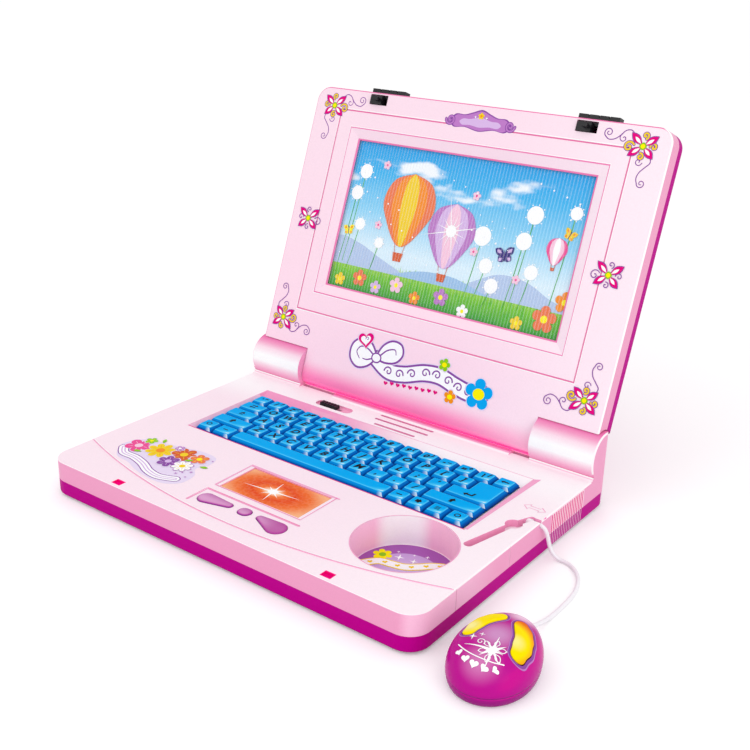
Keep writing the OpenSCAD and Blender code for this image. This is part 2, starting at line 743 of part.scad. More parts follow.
module base_bottom_shell() color(MAGENTA) difference() {
    union() {
        difference() {
            translate([0, 0, split_z]) mirror([0, 0, 1])
                soft_block(base_w, base_d, base_h - band_h, corner_r, bottom_edge_r);
            translate([0, 0, floor_z])
                rounded_prism(base_w - 2 * wall, base_d - 2 * wall, base_h, corner_r - wall);
        }
        difference() {
            translate([0, 0, floor_z - 1]) rounded_prism(
                base_w - 2 * wall - 2 * fit, base_d - 2 * wall - 2 * fit,
                split_z + lip_h - floor_z + 1, corner_r - wall - fit);
            translate([0, 0, floor_z]) rounded_prism(
                base_w - 2 * (wall + lip_t), base_d - 2 * (wall + lip_t), base_h, corner_r - wall - lip_t);
        }
        for (p = case_screws) translate([p[0], p[1] - base_d / 2, floor_z - 1])
            cylinder(r = boss_r, h = split_z - floor_z + 1);
        for (x = [-1, 1], y = [-1, 1]) foot_place(x, y) translate([0, 0, foot_h])
            cylinder(r = foot_r + 2, h = floor_t + 1);
        translate([bay_x, bay_y - base_d / 2, 0]) block(
            -bay_l / 2 - wall, -bay_w / 2 - wall, foot_h, bay_l / 2 + wall, bay_w / 2 + wall, bay_top + wall);
        translate([0, 0, foot_h]) linear_extrude(door_t + wall) door_outline(wall);
        ear_place() cylinder(r = ear_r + wall, h = door_t + wall);
        ear_place() cylinder(r = boss_r, h = door_t + 6);
    }
    translate([bay_x, bay_y - base_d / 2, -1])
        linear_extrude(bay_top + 1) square([bay_l, bay_w], center = true);
    translate([0, 0, -1]) linear_extrude(1 + foot_h + door_t) door_outline(slide_fit);
    ear_place() translate([0, 0, -2]) cylinder(r = small_screw_r, h = door_t + 7);
    ear_place() translate([0, 0, -2]) cylinder(r = ear_r + slide_fit, h = 2 + door_t);
    for (p = case_screws) translate([p[0], p[1] - base_d / 2, 0]) {
        cylinder(r = screw_r + 0.2, h = split_z + 1);
        cylinder(r = screw_head_r + 0.3, h = foot_h + head_sink);
    }
    for (x = [-1, 1], y = [-1, 1]) foot_place(x, y) cylinder(r = foot_r + 0.3, h = foot_h + 1);
    side_grip();
}

// where the battery door's screw stands, at the height of the base's underside
module ear_place() {
    translate([bay_x - bay_l / 2 - door_rim - 3.5, bay_y - base_d / 2, foot_h]) children();
}

module foot_place(x, y) {
    translate([x * (base_w / 2 - foot_inset_x), y * (base_d / 2 - foot_inset_y), 0]) children();
}

module rubber_feet() color(RUBBER) {
    for (x = [-1, 1], y = [-1, 1]) foot_place(x, y) mirror([0, 0, 1]) translate([0, 0, -foot_h - 1])
        rotate_extrude() edge_profile_half(foot_r, foot_h + 1, 0.5);
}

module case_screws() color(STEEL) {
    for (p = case_screws) translate([p[0], p[1] - base_d / 2, foot_h + head_sink - head_h])
        screw(screw_r, screw_head_r, split_z + 7 - foot_h - head_sink + head_h);
}

module battery_door() color(MAGENTA) difference() {
    union() {
        translate([0, 0, foot_h]) linear_extrude(door_t - 0.1) door_outline();
        ear_place() cylinder(r = ear_r, h = door_t - 0.1);
        translate([bay_x, bay_y - base_d / 2, foot_h])
            block(-bay_l / 2 + 1, -bay_w / 2 + 0.4, 0, bay_l / 2 - 1, -bay_w / 2 + 1.6, door_t + 2);
    }
    ear_place() translate([0, 0, -2]) cylinder(r = small_screw_r + 0.2, h = 8);
    ear_place() translate([0, 0, -2]) cylinder(r = 2.2, h = 2.9);
    for (i = [0:5]) translate([bay_x + bay_l / 2 - 4 - i * 2.4, bay_y - base_d / 2, foot_h - 1])
        block(-0.6, -9, 0, 0.6, 9, 1.5);
}

module battery_door_screw() color(STEEL) {
    ear_place() translate([0, 0, 0.1]) difference() {
        union() {
            cylinder(r = 2, h = 0.8);
            cylinder(r = small_screw_r, h = 6);
        }
        translate([-1.4, -0.3, -1]) cube([2.8, 0.6, 1.4]);
    }
}

// places children at the middle of each cell, every second one turned round
module each_cell() {
    for (i = [0:cells - 1])
        translate([bay_x, bay_y - base_d / 2 + (i - (cells - 1) / 2) * (2 * cell_r + 0.4), cell_z])
            mirror([i % 2, 0, 0]) children();
}

module batteries() color("#3B6FB5") each_cell() {
    rod_x(cell_r, -cell_l / 2, cell_l / 2 - 1.4);
    rod_x(2.7, -cell_l / 2, cell_l / 2);
}

// a coned spring seat at the flat end and a plate at the button end of each cell
module battery_contacts() color(STEEL) each_cell() {
    for (r = [5.4, 4.2, 3]) translate([-cell_l / 2 - 0.5 - (5.4 - r) * 0.25, 0, 0])
        rotate([0, 90, 0]) rotate_extrude() translate([r, 0]) circle(0.5);
    rod_x(6, -bay_l / 2, -cell_l / 2 - 1.3);
    rod_x(6, cell_l / 2 + 0.1, bay_l / 2);
}

module main_circuit_board() color(GREEN) {
    difference() {
        union() {
            on_deck(0, 0, board_top - board_t) block(board_x0, board_y0, 0, board_x1, board_y1, board_t);
            for (b = [[-21, 26], [3.2, 27.2], [26, 25.6]]) on_deck(b[0], b[1], board_top - 0.2)
                cylinder(r = 2, h = button_under() - button_travel - 0.1 - board_top + 0.2);
            on_deck(20, 68, board_top - board_t - 1.4) cylinder(r = 8, h = 1.6);
            on_deck(-24, 60, board_top - board_t - 5) block(-5, -3, 0, 5, 3, 5.2);
        }
        for (p = board_screws) on_deck(p[0], p[1], board_top - board_t - 1)
            cylinder(r = small_screw_r + 0.1, h = board_t + 2);
    }
}

function button_under() = button_proud - button_h - plunger_h;

module board_screws() color(STEEL) {
    for (p = board_screws) on_deck(p[0], p[1], board_top - board_t - head_h)
        screw(small_screw_r, 1.8, head_h + board_t + 4);
}

// the three lamps that light the panel from below
module panel_lamps() color("#FFE9C8") {
    for (x = [-20, 0, 20]) on_deck(x, panel_y, board_top) {
        cylinder(r = 1.9, h = 1);
        cylinder(r = 1.5, h = 1.6);
        translate([0, 0, 1.6]) sphere(1.5);
    }
}

module light_panel() color("#F0662A") {
    on_deck(0, panel_y, -panel_sink) {
        translate([0, 0, -1.6]) block(
            -panel_w / 2 + panel_rim + fit, -panel_d / 2 + panel_rim + fit, 0,
            panel_w / 2 - panel_rim - fit, panel_d / 2 - panel_rim - fit, 1.6);
        block(-panel_w / 2 + fit, -panel_d / 2 + fit, 0, panel_w / 2 - fit, panel_d / 2 - fit, 0.6);
    }
}

// a deck button: a rounded cap, a flange that holds it in and a plunger
module deck_button(b, at) {
    on_deck(0, 0, button_proud - 0.5) linear_extrude(0.5) bean(b[0], b[1], -0.5);
    on_deck(0, 0, button_proud - button_h) linear_extrude(button_h - 0.4) bean(b[0], b[1]);
    on_deck(0, 0, button_proud - button_h) linear_extrude(button_h - button_proud - deck_t - 0.1)
        bean(b[0], b[1], button_flange);
    on_deck(at[0], at[1], button_under()) cylinder(r = 1.6, h = plunger_h + 1);
}

module button_left() color(PURPLE) deck_button(bean_left, [-21, 26]);
module button_centre() color(PURPLE) deck_button(bean_centre, [3.2, 27.2]);
module button_right() color(PURPLE) deck_button(bean_right, [26, 25.6]);

module power_switch_body() color(BLACK) {
    on_deck(thumb_start + switch_travel / 2, switch_y, -switch_sink - wall - 5) difference() {
        block(-(switch_travel + 9) / 2, -4, 0, (switch_travel + 9) / 2, 4, 5);
        block(-(switch_travel + 5) / 2, -2.9, 1.6, (switch_travel + 5) / 2, 2.9, 6);
    }
}

module power_switch_thumb() color(BLACK) {
    on_deck(thumb_start, switch_y, -switch_sink + 0.1) difference() {
        along_x(thumb_w) polygon([[-2.9, 0], [2.9, 0], [2.2, 2.8], [-2.2, 2.8]]);
        for (i = [-2:2]) translate([i * 2.6, 0, 0]) block(-0.5, -4, 2.1, 0.5, 4, 4);
    }
    on_deck(thumb_start, switch_y, -switch_sink - wall - 2.6) {
        block(-2, -1, 0, 2, 1, wall + 3);
        block(-2, -2.5, 0, 2, 2.5, 1.2);
    }
}

module speaker() color("#3A3A40") {
    on_deck(speaker_x, speaker_y, speaker_top) mirror([0, 0, 1]) rotate_extrude() polygon([
        [0, 2.6], [5, 2.2], [speaker_r - 3, 0.8], [speaker_r - 2, 0], [speaker_r, 0], [speaker_r, 1.2],
        [speaker_r - 3, 2], [10, 4], [8.5, 4], [8.5, speaker_h], [0, speaker_h]
    ]);
}

// ---------------------------------------------------------------- the keyboard

// the middle of a key that starts at a unit and is some units wide
function key_x(start, width) = keys_shift - field_w / 2 + (start + width / 2) * key_pitch_x;
function row_y(row) = keys_from_front + (rows - row - 0.5) * key_pitch_y;

// where each wide key's stems stand, from its middle
function stem_places(width) = width > 5 ? [-3.5, 0, 3.5] : width > 2 ? [-0.5, 0.5] : [0];

// a cap with a bevel all round: two trapezoid bars crossed
module key_cap(w, d) {
    x = w / 2 - key_gap / 2;
    y = d / 2 - key_gap / 2;
    intersection() {
        rotate([90, 0, 0]) linear_extrude(d + 2, center = true) polygon([
            [-x, 0], [x, 0], [x, key_skirt], [x - key_bevel, key_h], [-x + key_bevel, key_h], [-x, key_skirt]
        ]);
        along_x(w + 2) polygon([
            [-y, 0], [y, 0], [y, key_skirt], [y - key_bevel, key_h], [-y + key_bevel, key_h], [-y, key_skirt]
        ]);
    }
}

module key_stems(start, width, row) {
    for (u = stem_places(width)) on_deck(key_x(start, width) + u * key_pitch_x, row_y(row), 0) {
        block(-key_stem / 2, -key_stem / 2, stem_end, key_stem / 2, key_stem / 2, cap_under + 0.4);
        block(-flange / 2, -flange / 2, flange_top - flange_t, flange / 2, flange / 2, flange_top);
    }
}

module key(start, width, row) {
    on_deck(key_x(start, width), row_y(row), cap_under) key_cap(width * key_pitch_x, key_pitch_y);
    key_stems(start, width, row);
}

module letter_row(row) {
    for (i = [0:letter_count[row] - 1]) key(letter_start[row] + i, 1, row);
}

module keys_row_1() color(BLUE) letter_row(0);
module keys_row_2() color(BLUE) letter_row(1);
module keys_row_3() color(BLUE) letter_row(2);
module keys_row_4() color(BLUE) letter_row(3);
module keys_row_5() color(BLUE) for (k = bottom_row) key(k[0], k[1], 4);
module key_backspace() color(BLUE) key(units - 1, 1, 0);
module key_tab() color(BLUE) key(0, tab_units, 1);
module key_caps_lock() color(BLUE) key(0, caps_units, 2);
module key_shift_left() color(BLUE) key(0, shift_units, 3);
module key_shift_right() color(BLUE) key(shift_start, units - shift_start, 3);
module key_space_bar() color(BLUE) key(space_start, space_units, 4);

// the enter key is an L over two rows
module key_enter() color(BLUE) {
    low = units - enter_start;
    high = units - enter_top_start;
    on_deck(key_x(enter_start, low), row_y(2), cap_under) key_cap(low * key_pitch_x, key_pitch_y);
    on_deck(key_x(enter_top_start, high), (row_y(1) + row_y(2)) / 2, cap_under)
        key_cap(high * key_pitch_x, 2 * key_pitch_y);
    key_stems(enter_start, low, 2);
}

// every stem of the keyboard as [start, width, row]
all_keys = concat(
    [for (row = [0:3], i = [0:letter_count[row] - 1]) [letter_start[row] + i, 1, row]],
    [for (k = bottom_row) [k[0], k[1], 4]],
    [
        [units - 1, 1, 0], [0, tab_units, 1], [0, caps_units, 2], [0, shift_units, 3],
        [shift_start, units - shift_start, 3], [space_start, space_units, 4],
        [enter_start, units - enter_start, 2]
    ]
);

module at_each_stem(z) {
    for (k = all_keys, u = stem_places(k[1]))
        on_deck(key_x(k[0], k[1]) + u * key_pitch_x, row_y(k[2]), z) children();
}

module keyboard_sheet(z, t) {
    on_deck(keys_shift - field_w / 2 - plate_margin_x, keys_from_front - plate_margin_y, z)
        cube([field_w + 2 * plate_margin_x, field_d + 2 * plate_margin_y, t]);
}

module key_guide_plate() color("#E9E4DE") difference() {
    union() {
        keyboard_sheet(plate_top - plate_t, plate_t);
        for (p = keyboard_screws) on_deck(p[0], p[1], mat_top)
            cylinder(r = small_screw_r + 1.6, h = plate_top - 1 - mat_top);
    }
    at_each_stem(plate_top - plate_t - 1)
        linear_extrude(plate_t + 2) square(key_stem + 2 * slide_fit, center = true);
    for (p = keyboard_screws) on_deck(p[0], p[1], mat_top - 1) cylinder(r = small_screw_r + 0.1, h = 12);
}

module key_membrane() color("#D8D2DC") difference() {
    union() {
        keyboard_sheet(mat_top - mat_t, mat_t);
        at_each_stem(mat_top - 0.1) cylinder(r = dome_r, h = dome_h + 0.1);
    }
    for (p = keyboard_screws) on_deck(p[0], p[1], mat_top - 3) cylinder(r = small_screw_r + 0.1, h = 6);
}

module key_contact_board() color(GREEN) difference() {
    keyboard_sheet(contact_top - contact_t, contact_t);
    for (p = keyboard_screws) on_deck(p[0], p[1], contact_top - 3) cylinder(r = small_screw_r + 0.1, h = 6);
}

module keyboard_screws() color(STEEL) {
    for (p = keyboard_screws) on_deck(p[0], p[1], contact_top - contact_t - head_h)
        screw(small_screw_r, 1.8, plate_top + 3 - contact_top + contact_t + head_h);
}

// ---------------------------------------------------------------- the hinge and the lid

module hinge_pin(s) {
    x0 = barrel_half - pin_seat + 1;
    x1 = base_w / 2 - knuckle_w + pin_seat - 1;
    translate([0, hinge_y, hinge_z]) side_rod(s, pin_r, x0, x1);
}

module hinge_pin_left() color(STEEL) hinge_pin(-1);
module hinge_pin_right() color(STEEL) hinge_pin(1);

// the lid's side view: straight faces and a rounded tail, shrunk for its hollow
module lid_side_view(shrink = 0) {
    t = half_t - shrink;
    r = tail_r - shrink;
    low = -lid_tail + shrink;
    translate([-t, low + r]) square([2 * t, lid_reach - low - r - shrink]);
    translate([-t + r, low]) square([2 * (t - r), lid_reach - low - shrink]);
    for (s = [-1, 1]) translate([s * (t - r), low + r]) circle(r);
}

// what the knuckles take out of the lid's lower corners
module lid_notches(grow = 0) {
    for (s = [-1, 1]) side_rod(s, notch_r + grow, barrel_half - grow, lid_w);
}

module lid_hollow() {
    difference() {
        intersection() {
            along_x(lid_w - 2 * wall) lid_side_view(wall);
            translate([0, half_t, (lid_reach - lid_tail) / 2]) rotate([90, 0, 0])
                rounded_prism(lid_w - 2 * wall, lid_reach + lid_tail - 2 * wall, lid_t, lid_corner_r - wall);
        }
        lid_notches(knuckle_wall);
    }
}

// the lid's whole body between two depths, with its notches cut
module lid_slab(front) {
    h = front ? lid_front_t : lid_t - lid_front_t;
    difference() {
        intersection() {
            translate([0, seam_y, (lid_reach - lid_tail) / 2]) rotate([front ? 90 : -90, 0, 0])
                soft_block(lid_w, lid_reach + lid_tail, h, lid_corner_r, front ? edge_r : back_edge_r);
            along_x(lid_w + 2) lid_side_view();
        }
        lid_notches();
    }
}

// a rectangle seen from the lid's face, from the face to some depth behind it
module on_face(w, h, up, depth0, depth1) {
    translate([-w / 2, -half_t + depth0, up - h / 2]) cube([w, depth1 - depth0, h]);
}

module screen_opening() {
    w = screen_w + 2 * screen_slope;
    h = screen_h + 2 * screen_slope;
    over = 1 / screen_depth;
    x = w / 2 + screen_slope * over;
    z = h / 2 + screen_slope * over;
    translate([0, -half_t + screen_depth, screen_up]) intersection() {
        linear_extrude(h + 40, center = true) polygon([
            [-screen_w / 2, 0], [screen_w / 2, 0], [x, -screen_depth - 1], [-x, -screen_depth - 1]
        ]);
        along_x(w + 40) polygon([
            [0, -screen_h / 2], [0, screen_h / 2], [-screen_depth - 1, z], [-screen_depth - 1, -z]
        ]);
    }
    on_face(screen_w, screen_h, screen_up, 0, screen_depth + 10);
}

module frame_groove() {
    difference() {
        on_face(outer_frame_w + groove_w, outer_frame_h + groove_w, screen_up - 1.4, -1, groove_h);
        on_face(outer_frame_w - groove_w, outer_frame_h - groove_w, screen_up - 1.4, -2, groove_h + 1);
    }
}

module screen_box(grow, depth0, depth1) {
    on_face(screen_w + 2 * grow, screen_h + 2 * grow, screen_up, depth0, depth1);
}

module latch_holes() {
    for (s = [-1, 1]) translate([s * latch_pitch / 2, 0, lid_reach]) {
        translate([hook_x - hook_w / 2 - 1, -half_t - 1, -hook_h - 3])
            cube([window_w, wall + 2, hook_h + 1.3]);
        translate([grip_x - stem_w / 2 - slide_fit, -half_t + 2.5 - slide_fit, -wall - 1])
            cube([stem_w + latch_travel + 2 * slide_fit, 3 + 2 * slide_fit, wall + 2]);
    }
}

module lid_front_frame() color(PINK) difference() {
    union() {
        difference() {
            lid_slab(true);
            lid_hollow();
        }
        intersection() {
            screen_box(screen_slope + wall, 0.5, screen_depth + wall);
            lid_slab(true);
        }
        for (p = lid_screws) translate([p[0], -half_t + 1, p[1]]) rotate([-90, 0, 0])
            cylinder(r = boss_r, h = lid_front_t - 1);
        for (s = [-1, 1]) side_rod(s, lid_boss_r, barrel_half - pin_seat, barrel_half);
    }
    screen_opening();
    screen_box(3, screen_depth + 0.8, screen_depth + 10);
    frame_groove();
    at_screen_screws(screen_depth + 10) cylinder(r = small_screw_r, h = 11);
    latch_holes();
    for (p = lid_screws) translate([p[0], -half_t + 3, p[1]]) rotate([-90, 0, 0])
        cylinder(r = screw_r, h = lid_t);
    for (s = [-1, 1]) side_rod(s, pin_r - pin_press, barrel_half - pin_seat + 1, barrel_half + 1);
}

module lid_back_cover() color(MAGENTA) difference() {
    union() {
        difference() {
            lid_slab(false);
            lid_hollow();
        }
        for (p = lid_screws) translate([p[0], seam_y, p[1]]) rotate([-90, 0, 0])
            cylinder(r = boss_r, h = lid_t - lid_front_t - 1);
    }
    for (p = lid_screws) translate([p[0], seam_y - 1, p[1]]) rotate([-90, 0, 0]) {
        cylinder(r = screw_r + 0.2, h = lid_t);
        translate([0, 0, lid_t - lid_front_t + 1 - head_sink]) cylinder(r = screw_head_r + 0.3, h = lid_t);
    }
    for (s = [-1, 1])
        side_rod(s, lid_boss_r + slide_fit, barrel_half - pin_seat - slide_fit, barrel_half + 1);
}

module lid_screws() color(STEEL) {
    for (p = lid_screws) translate([p[0], half_t - head_sink + head_h, p[1]]) rotate([90, 0, 0])
        screw(screw_r, screw_head_r, 12);
}

// the screen is a ribbed window, a picture card and a plate that holds both
module screen_window() color("#BFE3F5") screen_box(2.8, screen_depth + 0.8, screen_depth + 2.2);
module screen_picture_card() color("#7CC7F0") screen_box(2.8, screen_depth + 2.2, screen_depth + 2.8);

module screen_backing_plate() color("#F2F2F2") difference() {
    screen_box(screen_slope + wall, screen_depth + wall, screen_depth + wall + 2.4);
    screen_box(3, screen_depth + wall - 1, screen_depth + 2.8);
    screen_box(-14, screen_depth + wall + 1.4, screen_depth + wall + 4);
    at_screen_screws(screen_depth + 10) cylinder(r = small_screw_r + 0.1, h = 9);
}

module at_screen_screws(depth) {
    for (x = [-1, 1], z = [-1, 1])
        translate([x * (screen_w / 2 + 6.5), -half_t + depth, screen_up + z * (screen_h / 2 + 6.5)])
            rotate([90, 0, 0]) children();
}

module screen_screws() color(STEEL) at_screen_screws(screen_depth + wall + 2.4 + head_h)
    screw(small_screw_r, 1.8, 6.4);

// a latch: ribbed grip above the lid's edge, slider inside and a barbed hook in front
module latch(s) {
    face = -half_t;
    translate([s * latch_pitch / 2, 0, lid_reach]) {
        difference() {
            block(grip_x - grip_w / 2, face + 1.4, 0.15, grip_x + grip_w / 2, face + 1.4 + grip_d, grip_h);
            for (i = [-1:1]) translate([grip_x + i * grip_w / 4, 0, 0])
                block(-0.5, face, grip_h - 1.6, 0.5, 0, grip_h + 1);
        }
        block(grip_x - stem_w / 2, face + 2.5, -wall - 1.5, grip_x + stem_w / 2, face + 5.5, 1);
        translate([hook_x - hook_w / 2 - 0.5, face + wall + 0.4, -wall - 2.2])
            cube([grip_x + stem_w / 2 - hook_x + hook_w / 2 + 0.5, 5, 2]);
        block(hook_x - hook_w / 2, face - 1.4, -hook_h - 2.6, hook_x + hook_w / 2, face + wall + 3, -2.6);
        translate([finger_x, face - finger_end, -catch_from_front - finger_h / 2]) {
            cube([finger_w, finger_end, finger_h]);
            cube([finger_w + barb_w, barb_h, finger_h]);
        }
    }
}

module latch_left() color(BLACK) in_lid() latch(-1);
module latch_right() color(BLACK) in_lid() latch(1);

// ---------------------------------------------------------------- the cord and the mouse

module cord_gland() color("#F2F2F2") on_deck(channel_end[0], channel_end[1], exit_z) difference() {
    rod_x(gland_r, -gland_l, 0.6);
    rod_x(cord_r, -gland_l - 2, 2);
}

// a tube swept along points, closed at both ends
function unit(v) = v / norm(v);
function heading(p, i) = unit(p[min(i + 1, len(p) - 1)] - p[max(i - 1, 0)]);
function ring(p, i, r, n) = let (t = heading(p, i), u = unit(cross(t, [0.2, 0.3, 1])), v = cross(t, u))
    [for (k = [0:n - 1]) p[i] + r * (cos(360 * k / n) * u + sin(360 * k / n) * v)];

module tube(p, r, n = 8) {
    points = [for (i = [0:len(p) - 1]) each ring(p, i, r, n)];
    last = (len(p) - 1) * n;
    polyhedron(points, concat(
        [[for (k = [0:n - 1]) k]],
        [for (i = [0:len(p) - 2], k = [0:n - 1])
            [i * n + k, (i + 1) * n + k, (i + 1) * n + (k + 1) % n, i * n + (k + 1) % n]],
        [[for (k = [n - 1:-1:0]) last + k]]
    ));
}

module mouse_cord() color("#F7F7F7") tube(cord_points, cord_r);

module at_mouse() {
    translate([mouse_at[0], mouse_at[1], 0]) rotate([0, 0, mouse_turn]) children();
}

// the two screws that hold the mouse's board
module at_board_screws(z) {
    for (s = [-1, 1]) translate([s * mouse_board_screw[0], mouse_board_screw[1], z]) children();
}

// the mouse's egg outline at an angle, wider behind its middle
function egg(a, k) = [k * mouse_w / 2 * cos(a) * (1 - 0.07 * sin(a)), k * mouse_l / 2 * sin(a)];

// the mouse's outside, grown or shrunk by an amount all round
module mouse_outside(grow = 0) {
    n = mouse_sides;
    m = len(mouse_rings);
    points = concat(
        [for (g = mouse_rings, i = [0:n - 1])
            let (e = egg(360 * i / n, g[1]), w = grow * sqrt(1 - pow(g[0], 3)) / norm(e))
            [e[0] * (1 + w), e[1] * (1 + w), g[0] * (mouse_h + grow)]],
        [[0, 0, mouse_h + grow]]
    );
    polyhedron(points, concat(
        [[for (i = [0:n - 1]) i]],
        [for (j = [0:m - 2], i = [0:n - 1]) [j * n + i, (j + 1) * n + i, (j + 1) * n + (i + 1) % n]],
        [for (j = [0:m - 2], i = [0:n - 1]) [j * n + i, (j + 1) * n + (i + 1) % n, j * n + (i + 1) % n]],
        [for (i = [0:n - 1]) [(m - 1) * n + i, m * n, (m - 1) * n + (i + 1) % n]]
    ));
}

module click_outline(s, grow) {
    mirror([s > 0 ? 0 : 1, 0]) for (i = [0, 1]) bean(click_beads[i], click_beads[i + 1], grow);
}

// the upright hole or the body of a mouse button, from above the shells' seam
module click_prism(s, grow) {
    translate([0, 0, mouse_h * 0.45]) linear_extrude(mouse_h) click_outline(s, grow);
}

module nose_hole() {
    translate([0, mouse_l / 2 - 5, mouse_split]) rotate([-90, 0, 0]) cylinder(r = cord_r + 0.8, h = 10);
}

module mouse_top_shell() color(MAGENTA) at_mouse() difference() {
    union() {
        difference() {
            mouse_outside();
            mouse_outside(-mouse_wall);
        }
        translate([0, mouse_screw_y, mouse_split]) cylinder(r = 3, h = mouse_h * 0.9 - mouse_split);
    }
    translate([0, 0, -1]) linear_extrude(mouse_split + 1) square(2 * mouse_l, center = true);
    for (s = [-1, 1]) click_prism(s, slide_fit);
    nose_hole();
    translate([0, mouse_screw_y, 0]) cylinder(r = small_screw_r, h = mouse_split + 7);
}

module mouse_bottom_shell() color(MAGENTA) at_mouse() difference() {
    union() {
        difference() {
            mouse_outside();
            translate([0, 0, wall]) linear_extrude(mouse_h)
                egg_outline(mouse_sole - 2 * mouse_wall / mouse_w);
            translate([0, 0, mouse_split - 0.05]) linear_extrude(mouse_h) square(2 * mouse_l, center = true);
        }
        translate([0, mouse_screw_y, 1]) cylinder(r = 3.4, h = mouse_split - 1.05);
        at_board_screws(1) cylinder(r = 2.4, h = mouse_board_z - 1);
    }
    translate([0, mouse_screw_y, -1]) cylinder(r = small_screw_r + 0.2, h = 20);
    translate([0, mouse_screw_y, -1]) cylinder(r = 2.2, h = 4.2);
    at_board_screws(3) cylinder(r = small_screw_r, h = 20);
    nose_hole();
}

module egg_outline(k) {
    polygon([for (i = [0:mouse_sides - 1]) egg(360 * i / mouse_sides, k)]);
}

module mouse_button(s) {
    stem_end = mouse_board_z + 1.4 + click_switch_h + click_travel + 0.1;
    at_mouse() {
        difference() {
            union() {
                intersection() {
                    mouse_outside(0.8);
                    click_prism(s, 0);
                }
                intersection() {
                    mouse_outside(-mouse_wall - 0.4);
                    click_prism(s, 1);
                }
            }
            mouse_outside(-mouse_wall - 1.6);
        }
        translate([s * click_beads[1][0], click_beads[1][1], stem_end])
            cylinder(r = click_stem_r, h = mouse_h * 0.86 - stem_end);
    }
}

module mouse_button_left() color("#FFE400") mouse_button(-1);
module mouse_button_right() color("#FFE400") mouse_button(1);

module mouse_circuit_board() color(GREEN) at_mouse() {
    difference() {
        translate([0, 4, mouse_board_z]) linear_extrude(1.4) square([30, 24], center = true);
        at_board_screws(0) cylinder(r = small_screw_r + 0.1, h = 20);
    }
    for (s = [-1, 1]) translate([s * click_beads[1][0], click_beads[1][1], mouse_board_z + 1.2]) {
        block(-2.6, -2.6, 0, 2.6, 2.6, click_switch_h - 0.6);
        cylinder(r = 1.6, h = click_switch_h + 0.2);
    }
}

// one screw holds the mouse's shells, two hold its board
module mouse_screws() color(STEEL) at_mouse() {
    translate([0, mouse_screw_y, 1.2]) screw(small_screw_r, 2, 10);
    at_board_screws(mouse_board_z + 1.4 + head_h) mirror([0, 0, 1])
        screw(small_screw_r, 1.8, 6.4);
}

module mouse_strain_relief() color("#F2F2F2") at_mouse() translate([0, mouse_l / 2 - 3, mouse_split])
    rotate([-90, 0, 0]) difference() {
        rotate_extrude() polygon([[0, 0], [cord_r + 0.7, 0], [cord_r + 0.5, relief_l], [0, relief_l]]);
        translate([0, 0, -1]) cylinder(r = cord_r, h = relief_l + 2);
    }

module well_label() color("#8E3FA0") on_deck(well_x, well_y, -well_h) cylinder(r = well_r - 1, h = 0.3);

// ---------------------------------------------------------------- nodes

base_top_shell();
base_bottom_shell();
battery_door();
battery_door_screw();
case_screws();
rubber_feet();
batteries();
battery_contacts();
main_circuit_board();
board_screws();
panel_lamps();
light_panel();
button_left();
button_centre();
button_right();
power_switch_body();
power_switch_thumb();
speaker();
key_guide_plate();
key_membrane();
key_contact_board();
keyboard_screws();
keys_row_1();
keys_row_2();
keys_row_3();
keys_row_4();
keys_row_5();
key_backspace();
key_tab();
key_caps_lock();
key_enter();
key_shift_left();
key_shift_right();
key_space_bar();
cord_gland();
mouse_cord();
mouse_strain_relief();
hinge_pin_left();
hinge_pin_right();
in_lid() lid_front_frame();
in_lid() lid_back_cover();
in_lid() lid_screws();
in_lid() screen_window();
in_lid() screen_picture_card();
in_lid() screen_backing_plate();
in_lid() screen_screws();
latch_left();
latch_right();
mouse_top_shell();
mouse_bottom_shell();
mouse_button_left();
mouse_button_right();
mouse_circuit_board();
mouse_screws();
well_label();
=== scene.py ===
"""The looks of a toy laptop computer with a small corded mouse.

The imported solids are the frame. This script sets the camera and the light, lays the mouse's lead, makes
finer keycaps, deck buttons and mouse shells in place of the plain ones, prints the decoration of the lid,
the palm rest, the screen card and the mouse, and gives every part of the frame its finish.
"""

from __future__ import annotations

import json
import logging
import math
from dataclasses import dataclass, field
from enum import Enum, IntEnum
from functools import reduce
from typing import Any, Callable, Iterable, Sequence

